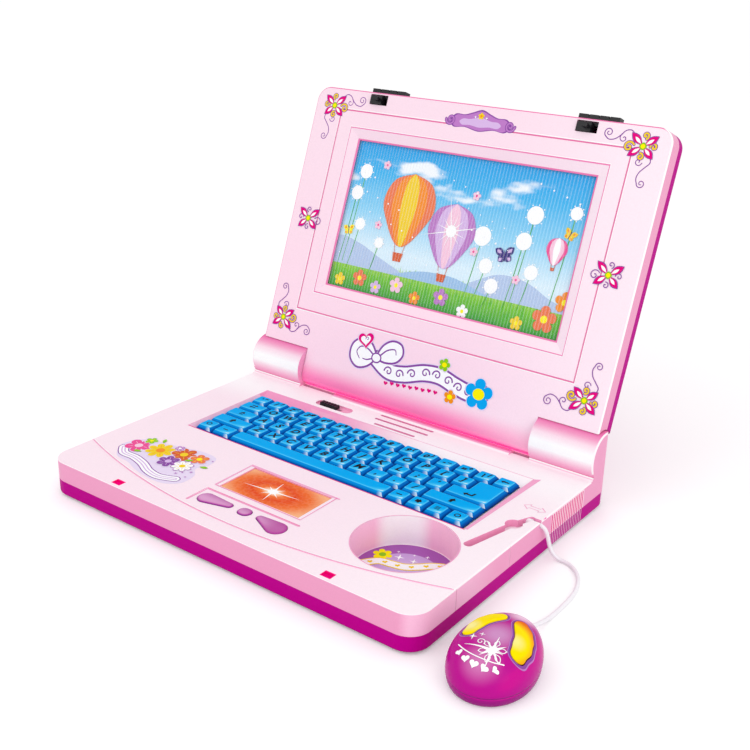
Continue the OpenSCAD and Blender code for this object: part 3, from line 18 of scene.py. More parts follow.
import bpy
from mathutils import Matrix, Vector
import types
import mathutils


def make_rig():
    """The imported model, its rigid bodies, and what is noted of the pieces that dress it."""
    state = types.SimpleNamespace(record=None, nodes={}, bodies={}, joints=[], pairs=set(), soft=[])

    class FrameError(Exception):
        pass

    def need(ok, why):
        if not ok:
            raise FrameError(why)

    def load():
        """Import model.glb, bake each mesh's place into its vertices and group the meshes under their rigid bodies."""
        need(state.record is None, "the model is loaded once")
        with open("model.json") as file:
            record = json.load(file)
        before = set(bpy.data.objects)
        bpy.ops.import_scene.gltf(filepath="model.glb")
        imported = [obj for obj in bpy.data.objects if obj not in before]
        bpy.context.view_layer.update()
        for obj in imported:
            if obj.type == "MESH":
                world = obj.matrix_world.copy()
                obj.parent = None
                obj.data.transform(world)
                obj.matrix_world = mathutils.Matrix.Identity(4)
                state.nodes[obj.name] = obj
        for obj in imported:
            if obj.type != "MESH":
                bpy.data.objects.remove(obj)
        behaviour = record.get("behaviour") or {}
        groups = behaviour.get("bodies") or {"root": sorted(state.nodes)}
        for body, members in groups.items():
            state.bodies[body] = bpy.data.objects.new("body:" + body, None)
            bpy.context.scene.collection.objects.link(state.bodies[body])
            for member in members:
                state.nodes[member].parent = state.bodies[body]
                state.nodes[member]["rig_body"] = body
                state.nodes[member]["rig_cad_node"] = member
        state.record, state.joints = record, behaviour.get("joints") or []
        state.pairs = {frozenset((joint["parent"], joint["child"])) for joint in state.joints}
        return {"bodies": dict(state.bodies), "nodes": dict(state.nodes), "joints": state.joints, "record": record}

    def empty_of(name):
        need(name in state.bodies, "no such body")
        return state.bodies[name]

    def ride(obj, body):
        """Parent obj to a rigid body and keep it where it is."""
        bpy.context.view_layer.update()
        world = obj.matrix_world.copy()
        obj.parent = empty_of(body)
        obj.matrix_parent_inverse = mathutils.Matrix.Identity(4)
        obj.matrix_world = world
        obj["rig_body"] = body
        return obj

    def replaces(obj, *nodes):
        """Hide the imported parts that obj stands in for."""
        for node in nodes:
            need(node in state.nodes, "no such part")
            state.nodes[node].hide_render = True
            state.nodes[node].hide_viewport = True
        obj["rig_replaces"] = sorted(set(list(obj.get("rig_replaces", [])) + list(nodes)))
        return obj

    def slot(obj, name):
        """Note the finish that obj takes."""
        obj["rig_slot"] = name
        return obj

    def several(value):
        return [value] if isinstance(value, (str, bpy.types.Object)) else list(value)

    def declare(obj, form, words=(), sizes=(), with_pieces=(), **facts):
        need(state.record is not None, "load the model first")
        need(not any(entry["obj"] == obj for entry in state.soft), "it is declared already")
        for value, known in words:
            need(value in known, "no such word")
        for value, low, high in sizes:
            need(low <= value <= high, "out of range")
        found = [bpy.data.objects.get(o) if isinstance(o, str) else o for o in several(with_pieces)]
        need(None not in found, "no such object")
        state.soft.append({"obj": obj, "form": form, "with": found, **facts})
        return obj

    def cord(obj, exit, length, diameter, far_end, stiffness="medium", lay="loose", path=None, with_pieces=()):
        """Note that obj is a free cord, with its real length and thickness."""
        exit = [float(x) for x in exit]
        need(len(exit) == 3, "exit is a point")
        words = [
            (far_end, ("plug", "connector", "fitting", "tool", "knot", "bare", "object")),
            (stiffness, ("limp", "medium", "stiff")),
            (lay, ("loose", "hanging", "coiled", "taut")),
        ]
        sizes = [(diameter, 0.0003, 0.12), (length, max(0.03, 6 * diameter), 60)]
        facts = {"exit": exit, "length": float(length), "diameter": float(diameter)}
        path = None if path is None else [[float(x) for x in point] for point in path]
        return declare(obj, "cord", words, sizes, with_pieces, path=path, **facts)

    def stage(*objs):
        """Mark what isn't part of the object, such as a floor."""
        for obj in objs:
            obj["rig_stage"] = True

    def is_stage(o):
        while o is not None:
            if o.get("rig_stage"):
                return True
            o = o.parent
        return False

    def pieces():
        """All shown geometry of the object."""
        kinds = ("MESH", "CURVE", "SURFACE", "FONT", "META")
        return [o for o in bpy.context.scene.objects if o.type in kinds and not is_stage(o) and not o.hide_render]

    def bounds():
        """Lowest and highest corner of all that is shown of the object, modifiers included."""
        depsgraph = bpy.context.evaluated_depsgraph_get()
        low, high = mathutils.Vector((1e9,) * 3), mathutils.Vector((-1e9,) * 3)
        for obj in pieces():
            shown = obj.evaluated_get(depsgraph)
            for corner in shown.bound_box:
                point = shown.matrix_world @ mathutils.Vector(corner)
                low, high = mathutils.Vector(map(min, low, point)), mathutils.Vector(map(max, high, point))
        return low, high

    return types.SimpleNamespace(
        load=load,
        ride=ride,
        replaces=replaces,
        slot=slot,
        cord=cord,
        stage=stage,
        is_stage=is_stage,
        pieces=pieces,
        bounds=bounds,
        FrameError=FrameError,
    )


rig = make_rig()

LOG = logging.getLogger("toy_computer")
MM = 0.001

Flat = tuple[float, float]
Spatial = tuple[float, float, float]
Outline = list[Flat]
Face = tuple[int, ...]
Socket = bpy.types.NodeSocket
Placing = Callable[[float, float, float], Vector]


def linear(colour: str) -> tuple[float, float, float, float]:
    """Turns a colour to linear light.

    Args:
        colour: an sRGB hex value of six digits.

    Returns:
        Red, green and blue in linear light, and an alpha of 1.
    """
    parts = [int(colour[i : i + 2], 16) / 255 for i in (0, 2, 4)]
    red, green, blue = (c / 12.92 if c <= 0.04045 else ((c + 0.055) / 1.055) ** 2.4 for c in parts)
    return red, green, blue, 1.0


# ---- places


@dataclass(frozen=True)
class Place:
    """A flat place on the computer, in millimetres of the row frame.

    Attributes:
        origin: where its (0, 0) is.
        across: the direction of its first number.
        up: the direction of its second number.
    """

    origin: Spatial
    across: Spatial = (1, 0, 0)
    up: Spatial = (0, 1, 0)

    def at(self, u: float, v: float, lift: float = 0.0) -> Vector:
        """Gives a point of the place.

        Args:
            u: millimetres along across.
            v: millimetres along up.
            lift: millimetres out of the surface.

        Returns:
            The point in metres of the row frame.
        """
        across, up = Vector(self.across), Vector(self.up)
        return (Vector(self.origin) + across * u + up * v + across.cross(up) * lift) * MM


BASE_W, BASE_D, DECK_Z = 300.0, 228.0, 26.2
HINGE_Y, HINGE_Z = 101.0, 38.7
TILT = math.radians(20)
LID_UP = (0.0, math.sin(TILT), math.cos(TILT))
LID_OUT = (0.0, -math.cos(TILT), math.sin(TILT))
LID_FACE_Y, LID_FACE_Z = HINGE_Y - 10.5 * math.cos(TILT), HINGE_Z + 10.5 * math.sin(TILT)
SCREEN_UP, SCREEN_W, SCREEN_H = 122.2, 199.0, 112.0
SCREEN_DEPTH, CARD_DEPTH = 3.0, 5.2

DECK = Place((0, -BASE_D / 2, DECK_Z))
LID_FACE = Place((0, LID_FACE_Y, LID_FACE_Z), up=LID_UP)
WELL_FLOOR = Place((100, 59.5 - BASE_D / 2, DECK_Z - 20 + 0.3))
# the middle of the painted star glint on the light panel, on the deck
PANEL_STAR = (-2.0, 58.8)


# ---- flat outlines


def turns(n: int) -> list[float]:
    """Gives the angles of n even steps round a circle, in radians."""
    return [2 * math.pi * i / n for i in range(n)]


class Draw:
    """Outlines and lines in the plane, in millimetres, for prints and caps.

    A shape's middle is (x, y), its turn is in degrees, and n is its number of steps.
    """

    @staticmethod
    def polar(reach: float, angle: float) -> Flat:
        """Gives the point at a distance from the middle, at an angle in radians."""
        return reach * math.cos(angle), reach * math.sin(angle)

    @staticmethod
    def moved(
        points: Iterable[Flat], x: float, y: float, mx: float = 1, my: float = 1, turn: float = 0
    ) -> Outline:
        """Gives points turned, mirrored by mx and my and moved to (x, y)."""
        c, s = Draw.polar(1, math.radians(turn))
        return [(x + mx * a * c - my * b * s, y + mx * a * s + my * b * c) for a, b in points]

    @staticmethod
    def oval(x: float, y: float, rx: float, ry: float | None = None, turn: float = 0, n: int = 40) -> Outline:
        """Gives an ellipse."""
        return Draw.moved([(rx * math.cos(a), (ry or rx) * math.sin(a)) for a in turns(n)], x, y, turn=turn)

    @staticmethod
    def petal(
        x: float, y: float, start: float, length: float, width: float, turn: float, n: int = 12
    ) -> Outline:
        """Gives a pointed petal that begins at a distance from (x, y) and points at an angle."""
        side = [(start + length * i / n, width / 2 * math.sin(math.pi * (i / n) ** 1.15))
                for i in range(n + 1)]
        return Draw.moved(side + [(a, -b) for a, b in side[-2:0:-1]], x, y, turn=turn)

    @staticmethod
    def blossom(x: float, y: float, r: float, petals: int = 5, turn: float = 0, dip: float = 0.45) -> Outline:
        """Gives the outline of a round flower, which dips between its petals by a share of its reach."""
        reach = [(r * (1 - dip + dip * abs(math.cos(petals * a / 2)) ** 0.55), a) for a in turns(petals * 14)]
        return Draw.moved([Draw.polar(*p) for p in reach], x, y, turn=turn)

    @staticmethod
    def star(x: float, y: float, r: float, waist: float = 0.2, points: int = 4, turn: float = 0) -> Outline:
        """Gives a star whose waist is a share of its reach."""
        ring = [Draw.polar(r * waist if i % 2 else r, a) for i, a in enumerate(turns(2 * points))]
        return Draw.moved(ring, x, y, turn=turn)

    @staticmethod
    def heart(x: float, y: float, size: float, turn: float = 0, n: int = 40) -> Outline:
        """Gives a heart.

        Args:
            x: how far right its middle is.
            y: how far up its middle is.
            size: its width.
            turn: how far it is turned, in degrees.
            n: how many points it has.

        Returns:
            Its outline.
        """
        ring = [(17 * math.sin(t) ** 3,
                 13 * math.cos(t) - 5 * math.cos(2 * t) - 2 * math.cos(3 * t) - math.cos(4 * t))
                for t in turns(n)]
        return Draw.moved([(a * size / 34, b * size / 34) for a, b in ring], x, y, turn=turn)

    @staticmethod
    def curl(
        x: float, y: float, outer: float, inner: float, start: float, sweep: float, n: int = 36
    ) -> Outline:
        """Gives a spiral line between two radii, from an angle through a sweep, both in degrees."""
        steps = [(outer + (inner - outer) * i / n, math.radians(start + sweep * i / n)) for i in range(n + 1)]
        return Draw.moved([Draw.polar(*p) for p in steps], x, y)

    @staticmethod
    def frame(half_w: float, half_h: float, y: float = 0) -> Outline:
        """Gives the corners of an upright rectangle round (0, y)."""
        return [(a * half_w, y + b * half_h) for a, b in ((-1, -1), (1, -1), (1, 1), (-1, 1))]

    @staticmethod
    def bend(points: Sequence[Flat], steps: int = 8) -> Outline:
        """Gives a smooth line through some points.

        Args:
            points: the points that it passes.
            steps: the parts of each stretch between two of them.

        Returns:
            The line, from the first point to the last.
        """
        p = [points[0], *points, points[-1]]
        out = []
        for i in range(1, len(p) - 2):
            for t in (k / steps for k in range(steps)):
                out.append(tuple(
                    0.5 * (2 * b + (c - a) * t + (2 * a - 5 * b + 4 * c - d) * t * t
                           + (3 * b - a - 3 * c + d) * t ** 3)
                    for a, b, c, d in zip(*p[i - 1 : i + 3])))
        return out + [tuple(points[-1])]


def ring_faces(rings: int, count: int, start: int = 0) -> list[Face]:
    """Gives the faces that join rings of points, where each ring follows the one before it.

    Args:
        rings: the number of rings.
        count: the points of each ring.
        start: the number of the first point.

    Returns:
        Four point numbers for each face, ring by ring.
    """
    firsts = [(start + j * count, i) for j in range(rings - 1) for i in range(count)]
    return [(f + i, f + (i + 1) % count, f + (i + 1) % count + count, f + i + count) for f, i in firsts]


# ---- finishes


# the second colour is a glow that lights shaded gaps as painted light, and the third is the lid's painted shade
HOT_PINK, PAINTED_GLOW_PINK, PAINTED_SHADE_PINK = "FF0A8C", "E83A94", "FF86BD"
# a limit that no place on the part reaches
FAR = 2.0


class Graph:
    """The node tree of one material or of the world."""

    def __init__(self, name: str, kept_in: str = "materials") -> None:
        """Starts an empty tree.

        Args:
            name: the name of the new material or world.
            kept_in: the collection that keeps it.
        """
        self.owner = getattr(bpy.data, kept_in).new(name)
        self.owner.use_nodes = True
        self.tree = self.owner.node_tree
        self.tree.nodes.clear()

    def add(
        self, kind: str, links: dict[int | str, Any] | None = None, out: int | str = 0,
        stops: Sequence[tuple[float, str]] = (), **settings: Any
    ) -> Socket | None:
        """Adds one node with its settings and links.

        Args:
            kind: the node's type, without the word ShaderNode.
            links: for each input, the socket that feeds it or its value.
            out: the output to give back.
            stops: a colour ramp's places and hex colours.
            **settings: the node's own settings.

        Returns:
            The output socket, or None where the node has none.
        """
        node = self.tree.nodes.new("ShaderNode" + kind)
        for key, value in settings.items():
            setattr(node, key, value)
        for key, value in (links or {}).items():
            if isinstance(value, Socket):
                self.tree.links.new(value, node.inputs[key])
            else:
                node.inputs[key].default_value = value
        for i, (place, colour) in enumerate(stops):
            ramp = node.color_ramp.elements
            mark = ramp[i] if i < 2 else ramp.new(place)
            mark.position, mark.color = place, linear(colour)
        return node.outputs[out] if len(node.outputs) else None

    def tint(
        self, base: Any, colour: Any, value: Any, start: float, full: float, most: float = 1
    ) -> Socket:
        """Lays a colour over another as a value goes from start to full.

        Args:
            base: the colour beneath, a socket or a linear colour.
            colour: the colour laid over, a hex value or a socket.
            value: the socket that decides.
            start: the value at which the colour begins.
            full: the value at which it covers.
            most: the share that it covers there.

        Returns:
            The mixed colour.
        """
        share = self.add(
            "MapRange", {"Value": value, "From Min": start, "From Max": full, "To Max": most},
            interpolation_type="SMOOTHSTEP")
        over = linear(colour) if isinstance(colour, str) else colour
        return self.add("Mix", {0: share, 6: base, 7: over}, out=2, data_type="RGBA")

    def both(self, *masks: Any) -> Socket:
        """Gives the share that lies under every mask, which is their product."""
        return reduce(lambda a, b: self.add("Math", {0: a, 1: b}, operation="MULTIPLY"), masks)

    def either(self, *masks: Any) -> Socket:
        """Gives the share that lies under any mask, which is the largest of them."""
        return reduce(lambda a, b: self.add("Math", {0: a, 1: b}, operation="MAXIMUM"), masks)

    def zone(self, *limits: tuple[Any, float, float, float]) -> Socket:
        """Gives 1 where each value is between its own limits.

        Args:
            *limits: for each value its socket, the low limit, the high limit and the softness of both.

        Returns:
            The mask, from 0 to 1.
        """
        edges = []
        for value, low, high, soft in limits:
            for end, way in ((low, soft), (high, -soft)):
                edges.append(self.add(
                    "MapRange", {"Value": value, "From Min": end - way, "From Max": end + way}))
        return self.both(*edges)

    def seen(self) -> Socket:
        """Gives 1 for a ray that goes to the eye, straight or by way of a gloss or a clear part."""
        rays = ("Is Camera Ray", "Is Glossy Ray", "Is Transmission Ray")
        return self.either(*(self.add("LightPath", out=ray) for ray in rays))


class Surface(Graph):
    """The tree of a material, with sockets for the point of the surface that is shaded.

    In the part's own frame, place is where the point is, in metres, with its parts x, y and z, and facing is
    the way that the surface faces there, with its parts right, away and up.
    """

    def __init__(self, name: str) -> None:
        """Starts the tree of a new material.

        Args:
            name: the material's name.
        """
        super().__init__(name)
        self.place, self.facing = (self.add("TexCoord", out=way) for way in ("Object", "Normal"))
        self.x, self.y, self.z = self.add("SeparateXYZ", {0: self.place}).node.outputs
        self.right, self.away, self.up = self.add("SeparateXYZ", {0: self.facing}).node.outputs


@dataclass(frozen=True)
class Finish:
    """A finish with one even colour and a fine grain.

    Attributes:
        name: the material's common name.
        colour: its sRGB hex colour.
        roughness: how matt its surface is.
        gloss: the level of its specular reflection, kept low where highlights are painted into its colour.
        metallic: 1 for a metal.
        grain_mm: the size of its grain.
        depth_mm: the depth of its grain.
        vary: how much the grain shades its colour.
        ior: its index of refraction, which a metal doesn't need.
    """

    name: str
    colour: str
    roughness: float = 0.4
    gloss: float = 0.1
    metallic: float = 0.0
    grain_mm: float = 0.8
    depth_mm: float = 0.01
    vary: float = 0.03
    ior: float = 1.5

    def paint(self, g: Surface) -> Any:
        """Gives the colour that the grain then shades.

        Args:
            g: the material's tree, which this plain finish doesn't use.

        Returns:
            A linear colour or a colour socket.
        """
        return linear(self.colour)

    def glow(self, g: Surface) -> tuple[str, Any]:
        """Gives the light that the part gives off, which most finishes don't have; some give painted light to shaded
        gaps.

        Args:
            g: the material's tree, which this plain finish doesn't use.

        Returns:
            Its hex colour and its strength.
        """
        return "000000", 0.0

    def build(self) -> bpy.types.Material:
        """Makes the material, with a grain that shades the colour and lifts the surface a little.

        Returns:
            The finished material.
        """
        g = Surface(self.name)
        base = self.paint(g)
        grain = g.add("TexNoise", {"Vector": g.place, "Scale": 1000 / self.grain_mm, "Detail": 2.0})
        mottle = g.add("MapRange", {
            "Value": grain, "From Min": 0.35, "From Max": 0.7, "To Max": self.vary * 10})
        darker = g.add("Mix", {0: 1.0, 6: base, 7: linear("E8E8E8")}, out=2,
                       data_type="RGBA", blend_type="MULTIPLY")
        shade = g.add("Mix", {0: mottle, 6: base, 7: darker}, out=2, data_type="RGBA")
        bump = g.add("Bump", {"Height": grain, "Distance": self.depth_mm * MM, "Strength": 0.5})
        inputs = {"Base Color": shade, "Normal": bump, "Roughness": self.roughness, "Metallic": self.metallic}
        if self.metallic < 1:
            inputs |= {"IOR": self.ior, "Specular IOR Level": self.gloss}
        light, strength = self.glow(g)
        if strength:
            inputs |= {"Emission Color": linear(light), "Emission Strength": strength}
        g.add("OutputMaterial", {"Surface": g.add("BsdfPrincipled", inputs)})
        return g.owner


@dataclass(frozen=True)
class BaseShellPlastic(Finish):
    """Glossy pink ABS, injection moulded: a pale upper face, sides in deeper pink painted shade, drums with a painted
    sheen.

    Places are in metres of the row frame.

    Attributes:
        side: the colour of the side walls, painted shade.
        edge: the colour of the rounded rims, a painted highlight.
        groove: the colour of the grooves between the grip's ribs, painted shade.
        grip: the front and the back of the grip.
        skin: how far right the floor of a groove and the wall's outside lie.
        well: the middle of the mouse's well.
        strip: the left, the right, the front and the back of the strip behind the keys.
        switch: the middle of the switch's recess.
        slots: the front and the back of the catch slots, and how far they are from the middle.
    """

    grain_mm: float = 1.2
    depth_mm: float = 0.006
    vary: float = 0.015
    side: str = "F3A4C9"
    edge: str = "FFF8FB"
    groove: str = "F43CA8"
    grip: Flat = (0.0316, 0.0752)
    skin: Flat = (0.1492, 0.1498)
    well: Spatial = (0.1, -0.0545, 0.016)
    strip: tuple[float, float, float, float] = (-0.1153, 0.1183, 0.0548, 0.0642)
    switch: Spatial = (-0.0563, 0.073, 0.0247)
    slots: Spatial = (-0.1115, -0.1056, 0.0865)

    def paint(self, g: Surface) -> Any:
        """Gives the colour of the shell with painted light and shade, region by region, in the order of the methods
        below.

        Args:
            g: the material's tree.

        Returns:
            The colour.
        """
        colour = self.shell(g)
        for region in (self.well_wall, self.drums, self.grip_lines, self.recesses):
            colour = region(g, colour)
        return colour

    def shell(self, g: Surface) -> Any:
        """Colours the deck, the side walls and the deck's rounded rim, with painted light and shade.

        Args:
            g: the material's tree.

        Returns:
            The colour.
        """
        # painted light: the deck pales towards the right
        deck = g.tint(linear(self.colour), "FFF4F9", g.x, 0.02, 0.16, 0.7)
        # the strip under the lid and the wall beside the mouse get less light, so their pink is painted paler against
        # that shade
        deck = g.tint(deck, "FFFAFD", g.y, 0.03, 0.068, 0.98)
        beside = g.zone((g.right, 0.3, FAR, 0.3), (g.y, -0.13, -0.05, 0.03))
        # painted shade: faces that don't face up take the deeper pink of the sides, lifted beside the mouse
        colour = g.tint(deck, g.tint(linear(self.side), "FFC6E2", beside, 0.1, 0.9), g.up, 0.93, 0.5)
        # painted highlight: the rounded rim of the deck is the palest part
        share = g.add("VectorMath", {0: g.place, 1: (2 / BASE_W / MM, 2 / BASE_D / MM, 0)},
                      operation="MULTIPLY")
        share = g.add("VectorMath", {0: share}, operation="ABSOLUTE")
        outer = g.either(*g.add("SeparateXYZ", {0: share}).node.outputs[:2])
        rim = g.zone((g.up, 0.3, 0.93, 0.06), (g.z, 0.0248, 0.0264, 0.0002), (outer, 0.945, FAR, 0.005))
        return g.tint(colour, self.edge, rim, 0.2, 0.8)

    def well_wall(self, g: Surface, colour: Any) -> Any:
        """Colours the well's wall with painted light: a paler pink against its shade and one soft pale streak of
        highlight.

        Args:
            g: the material's tree.
            colour: the colour beneath.

        Returns:
            The colour with the wall.
        """
        streak = g.add("VectorMath", {0: g.facing, 1: (0.6, -0.8, 0)}, out="Value", operation="DOT_PRODUCT")
        inside = g.add("VectorMath", {0: g.place, 1: self.well}, out="Value", operation="DISTANCE")
        wall = g.zone((inside, 0.02, 0.0345, 0.0002), (g.up, -0.5, 0.6, 0.1))
        # painted light: the wall is lifted to a pale pink against its shade, and a white painted highlight runs down
        # it
        colour = g.tint(colour, "FFC9E2", wall, 0.2, 0.8)
        return g.tint(colour, "FFFFFF", g.both(g.zone((streak, 0.91, 1.2, 0.1)), wall), 0.02, 0.85)

    def drums(self, g: Surface, colour: Any) -> Any:
        """Colours the hinge drums with a painted sheen: deep pink under the lid, white across the front, pink again at
        the foot.

        Args:
            g: the material's tree.
            colour: the colour beneath.

        Returns:
            The colour with the drums.
        """
        # painted sheen and shade by the way the drum faces
        sheen = g.add("MapRange", {"Value": g.up, "From Min": -0.62, "From Max": 0.96})
        drum = g.add("ValToRGB", {0: sheen}, stops=(
            (0.0, "F39BC4"), (1.0, "EE78B2"), (0.14, "F8B4D2"), (0.3, "FDDEEB"), (0.42, "FFFFFF"),
            (0.6, "FFFFFF"), (0.8, "FBDBE9"), (0.92, "F3A0C6")))
        above = g.zone((g.z, DECK_Z * MM + 0.0009, 0.2, 0.0006), (g.away, -FAR, 0.42, 0.16))
        colour = g.tint(colour, drum, g.both(g.zone((g.right, -0.5, 0.5, 0.2)), above), 0.2, 0.8)
        # painted highlight: their rounded ends are white, and the deck runs pale up to their foot
        return g.tint(colour, self.edge, g.both(g.zone((g.right, 0.45, 0.93, 0.05)), above), 0.2, 0.8)

    def grip_lines(self, g: Surface, colour: Any) -> Any:
        """Colours the grip on the right with painted light and shade: pale ribs, hot pink grooves and two pale seams
        before them.

        Args:
            g: the material's tree.
            colour: the colour beneath.

        Returns:
            The colour with the grip.
        """
        side, ribs = g.zone((g.right, 0.985, FAR, 0.004)), (g.y, *self.grip, 0.0001)
        # painted highlight: the ribs are paler than the shaded side
        colour = g.tint(colour, "FFDFEC", g.both(side, g.zone(ribs)), 0.3, 0.7)
        floors = g.both(g.zone((g.x, *self.skin, 0.0001), (g.y, -0.09, 0.2, 0.001)),
                        g.either(side, g.zone((g.y, -0.2, 0.025, 0.001))))
        sideways = g.add("Math", {0: g.away}, operation="ABSOLUTE")
        walls = g.both(sideways, g.zone(ribs, (g.x, self.skin[0], 0.2, 0.0001)))
        # painted shade: the grooves are hot pink; the seams before the grip take the rims' painted highlight
        line = g.tint(linear(self.edge), self.groove, g.y, 0.02, 0.025)
        return g.tint(colour, line, g.either(floors, g.zone((walls, 0.9, FAR, 0.05))), 0.2, 0.8)

    def recesses(self, g: Surface, colour: Any) -> Any:
        """Colours the strip behind the keys, the floor of the switch's recess and the catch slots, with painted shade.

        Args:
            g: the material's tree.
            colour: the colour beneath.

        Returns:
            The colour with the recesses.
        """
        left, right, front, back = self.strip
        strip = g.zone((g.y, front, back, 0.0002), (g.x, left, right, 0.0002), (g.z, 0.02, 0.0264, 0.0002))
        # painted shade: the strip slopes down to the keys, deep pink on the left, pale on the right
        slope = g.tint(linear("F59CC6"), "FFF6FA", g.x, -0.06, 0.05)
        colour = g.tint(colour, slope, strip, 0.3, 0.7)
        # painted shade: the floor of the switch's recess is a deeper pink
        near = g.add("VectorMath", {0: g.place, 1: self.switch}, out="Value", operation="DISTANCE")
        plate = g.zone((near, -1.0, 0.0172, 0.0002), (g.z, 0.024, 0.0253, 0.0001))
        colour = g.tint(colour, "F6ACCC", plate, 0.3, 0.7)
        # painted shade: the small catch slots at the front edge are lined in hot pink, like the magenta seen through
        # them
        front, back, apart = self.slots
        reach = g.add("Math", {0: g.x}, operation="ABSOLUTE")
        slot = g.zone((g.y, front, back, 0.0002), (g.z, 0.0238, 0.0261, 0.0002),
                      (reach, apart - 0.0038, apart + 0.0038, 0.0002))
        return g.tint(colour, HOT_PINK, slot, 0.3, 0.7)

    def glow(self, g: Surface) -> tuple[str, Any]:
        """Gives painted light, a glow that keeps the hinge's shaded trough hot pink.

        Args:
            g: the material's tree.

        Returns:
            The light's colour and its strength.
        """
        upright = g.add("VectorMath", {0: g.place, 1: (0, 1, 1)}, operation="MULTIPLY")
        axis = g.add("VectorMath", {0: upright, 1: (0, HINGE_Y * MM, HINGE_Z * MM)},
                     out="Value", operation="DISTANCE")
        # painted light: the shaded trough under the lid glows
        trough = g.zone((axis, 0.0138, 0.0143, 0.0001), (g.z, 0.0, 0.0264, 0.0002), (g.x, -0.14, 0.14, 0.001))
        return PAINTED_GLOW_PINK, g.both(trough, 0.5)


@dataclass(frozen=True)
class LidPlastic(Finish):
    """The same glossy pink ABS on the lid: pale face, deep pink painted shade where it curves under, white and pink
    painted rims.

    Attributes:
        side: the colour of the sides, painted shade.
        edge: the colour of the edges on the left and the top, painted shade.
    """

    grain_mm: float = 1.2
    depth_mm: float = 0.006
    vary: float = 0.015
    side: str = "F4A6C9"
    edge: str = "F17FB3"

    def height(self, g: Surface) -> Any:
        """Gives the height over the foot of the lid's face, along the lid."""
        foot = g.add("VectorMath", {0: g.place, 1: tuple(LID_FACE.at(0, 0))}, operation="SUBTRACT")
        return g.add("VectorMath", {0: foot, 1: LID_UP}, out="Value", operation="DOT_PRODUCT")

    def paint(self, g: Surface) -> Any:
        """Gives the colour of the face, the sides and the rims, with painted light and shade.

        Args:
            g: the material's tree.

        Returns:
            The colour.
        """
        out = g.add("VectorMath", {0: g.facing, 1: LID_OUT}, out="Value", operation="DOT_PRODUCT")
        up = self.height(g)
        # painted shade: the face deepens towards its foot, and to deep pink where it curves under
        face = g.tint(linear(self.colour), "FFDDEC", up, 0.19, 0.02)
        face = g.tint(face, PAINTED_SHADE_PINK, up, 0.0075, -0.0085)
        # painted light: the face pales towards the right
        face = g.tint(face, "FFF4FA", g.x, 0.02, 0.15, 0.55)
        # painted shade: the sides are a deeper pink
        colour = g.tint(face, self.side, out, 0.9, 0.3)
        # painted shade: under the curve of the lower edge the pink stays deep
        colour = g.tint(colour, PAINTED_SHADE_PINK, up, -0.003, -0.0085)
        # the slope round the window keeps the face's pink, without the sides' painted shade
        wide = g.add("Math", {0: g.x}, operation="ABSOLUTE")
        outer = g.either(g.zone((wide, 0.132, 1.0, 0.001)), g.zone((up, 0.199, 1.0, 0.001)))
        inner = g.add("Math", {0: 1.0, 1: outer}, operation="SUBTRACT")
        colour = g.tint(colour, face, g.both(inner, g.zone((out, 0.6, 1.2, 0.02))), 0.3, 0.7)
        # painted shade and highlight on the outer edges: pink along the left and the top, white along the right
        rim = g.both(g.zone((out, 0.2, 0.97, 0.02), (up, 0.004, 1.0, 0.003)), outer)
        return g.tint(colour, g.tint(linear(self.edge), "FFFFFF", g.right, 0.1, 0.3), rim, 0.2, 0.6)

    def glow(self, g: Surface) -> tuple[str, Any]:
        """Gives painted light, a glow that keeps the foot's shaded underside hot pink."""
        return PAINTED_GLOW_PINK, g.add("MapRange", {
            "Value": self.height(g), "From Min": -0.0092, "From Max": -0.0115, "To Max": 0.35})


@dataclass(frozen=True)
class MagentaPlastic(Finish):
    """Glossy magenta ABS of the lower shell: lilac in the grip grooves, with painted shade a little darker underneath.
    """

    grain_mm: float = 1.0
    depth_mm: float = 0.006

    def paint(self, g: Surface) -> Any:
        """Gives magenta with painted shade underneath, and lilac grooves in the grip."""
        # painted shade: darker where the surface faces down
        colour = g.tint(linear(self.colour), "9A006E", g.up, -0.4, -0.95)
        grooves = g.zone((g.x, *BaseShellPlastic.skin, 0.0001), (g.y, -0.09, 0.2, 0.001))
        return g.tint(colour, "F6D6EB", grooves, 0.2, 0.8)

    def glow(self, g: Surface) -> tuple[str, Any]:
        """Gives painted light: the inner floor glows, so that it shows hot pink through the catch slots in its shade.
        """
        # painted light on the shaded inner floor
        floor = g.zone((g.z, 0.001, 0.0225, 0.0001), (g.y, -0.1117, -0.062, 0.0002),
                       (g.x, -0.12, 0.12, 0.0002), (g.up, -0.5, FAR, 0.1))
        return HOT_PINK, g.both(floor, 0.6)


@dataclass(frozen=True)
class MousePlastic(Finish):
    """High-gloss magenta ABS, with pale painted highlights on the crown and at the nose.

    Attributes:
        highlight_patches: each painted highlight's middle on the mouse, its colour, its radius in millimetres and its
            share.
    """

    grain_mm: float = 0.7
    depth_mm: float = 0.003
    vary: float = 0.01
    highlight_patches: tuple[tuple[Spatial, str, float, float], ...] = (
        ((2.5, -23.0, 22.0), "D98CC1", 13, 0.7), ((1.5, -3.5, 27.0), "D29BCB", 15, 0.85),
        ((3.0, 22.0, 24.0), "F3CBE4", 12, 1.0),
    )

    def paint(self, g: Surface) -> Any:
        """Gives magenta with painted light on the right flank, painted shade underneath and the pale painted
        highlights.

        Args:
            g: the material's tree.

        Returns:
            The colour.
        """
        # painted shade underneath
        colour = g.tint(linear(self.colour), "9C1080", g.up, 0.05, -0.3)
        # painted light on the right flank
        flank = g.zone((g.right, 0.72, 0.97, 0.1), (g.up, 0.1, 0.6, 0.1))
        colour = g.tint(colour, "DB1292", flank, 0.0, 1.0, 0.45)
        # pale painted highlights on the crown and the nose
        for middle, tone, reach, most in self.highlight_patches:
            distance = g.add("VectorMath", {0: g.place, 1: tuple(Mouse.at(*middle))},
                             out="Value", operation="DISTANCE")
            colour = g.tint(colour, tone, distance, reach * MM, 0.001, most)
        return colour


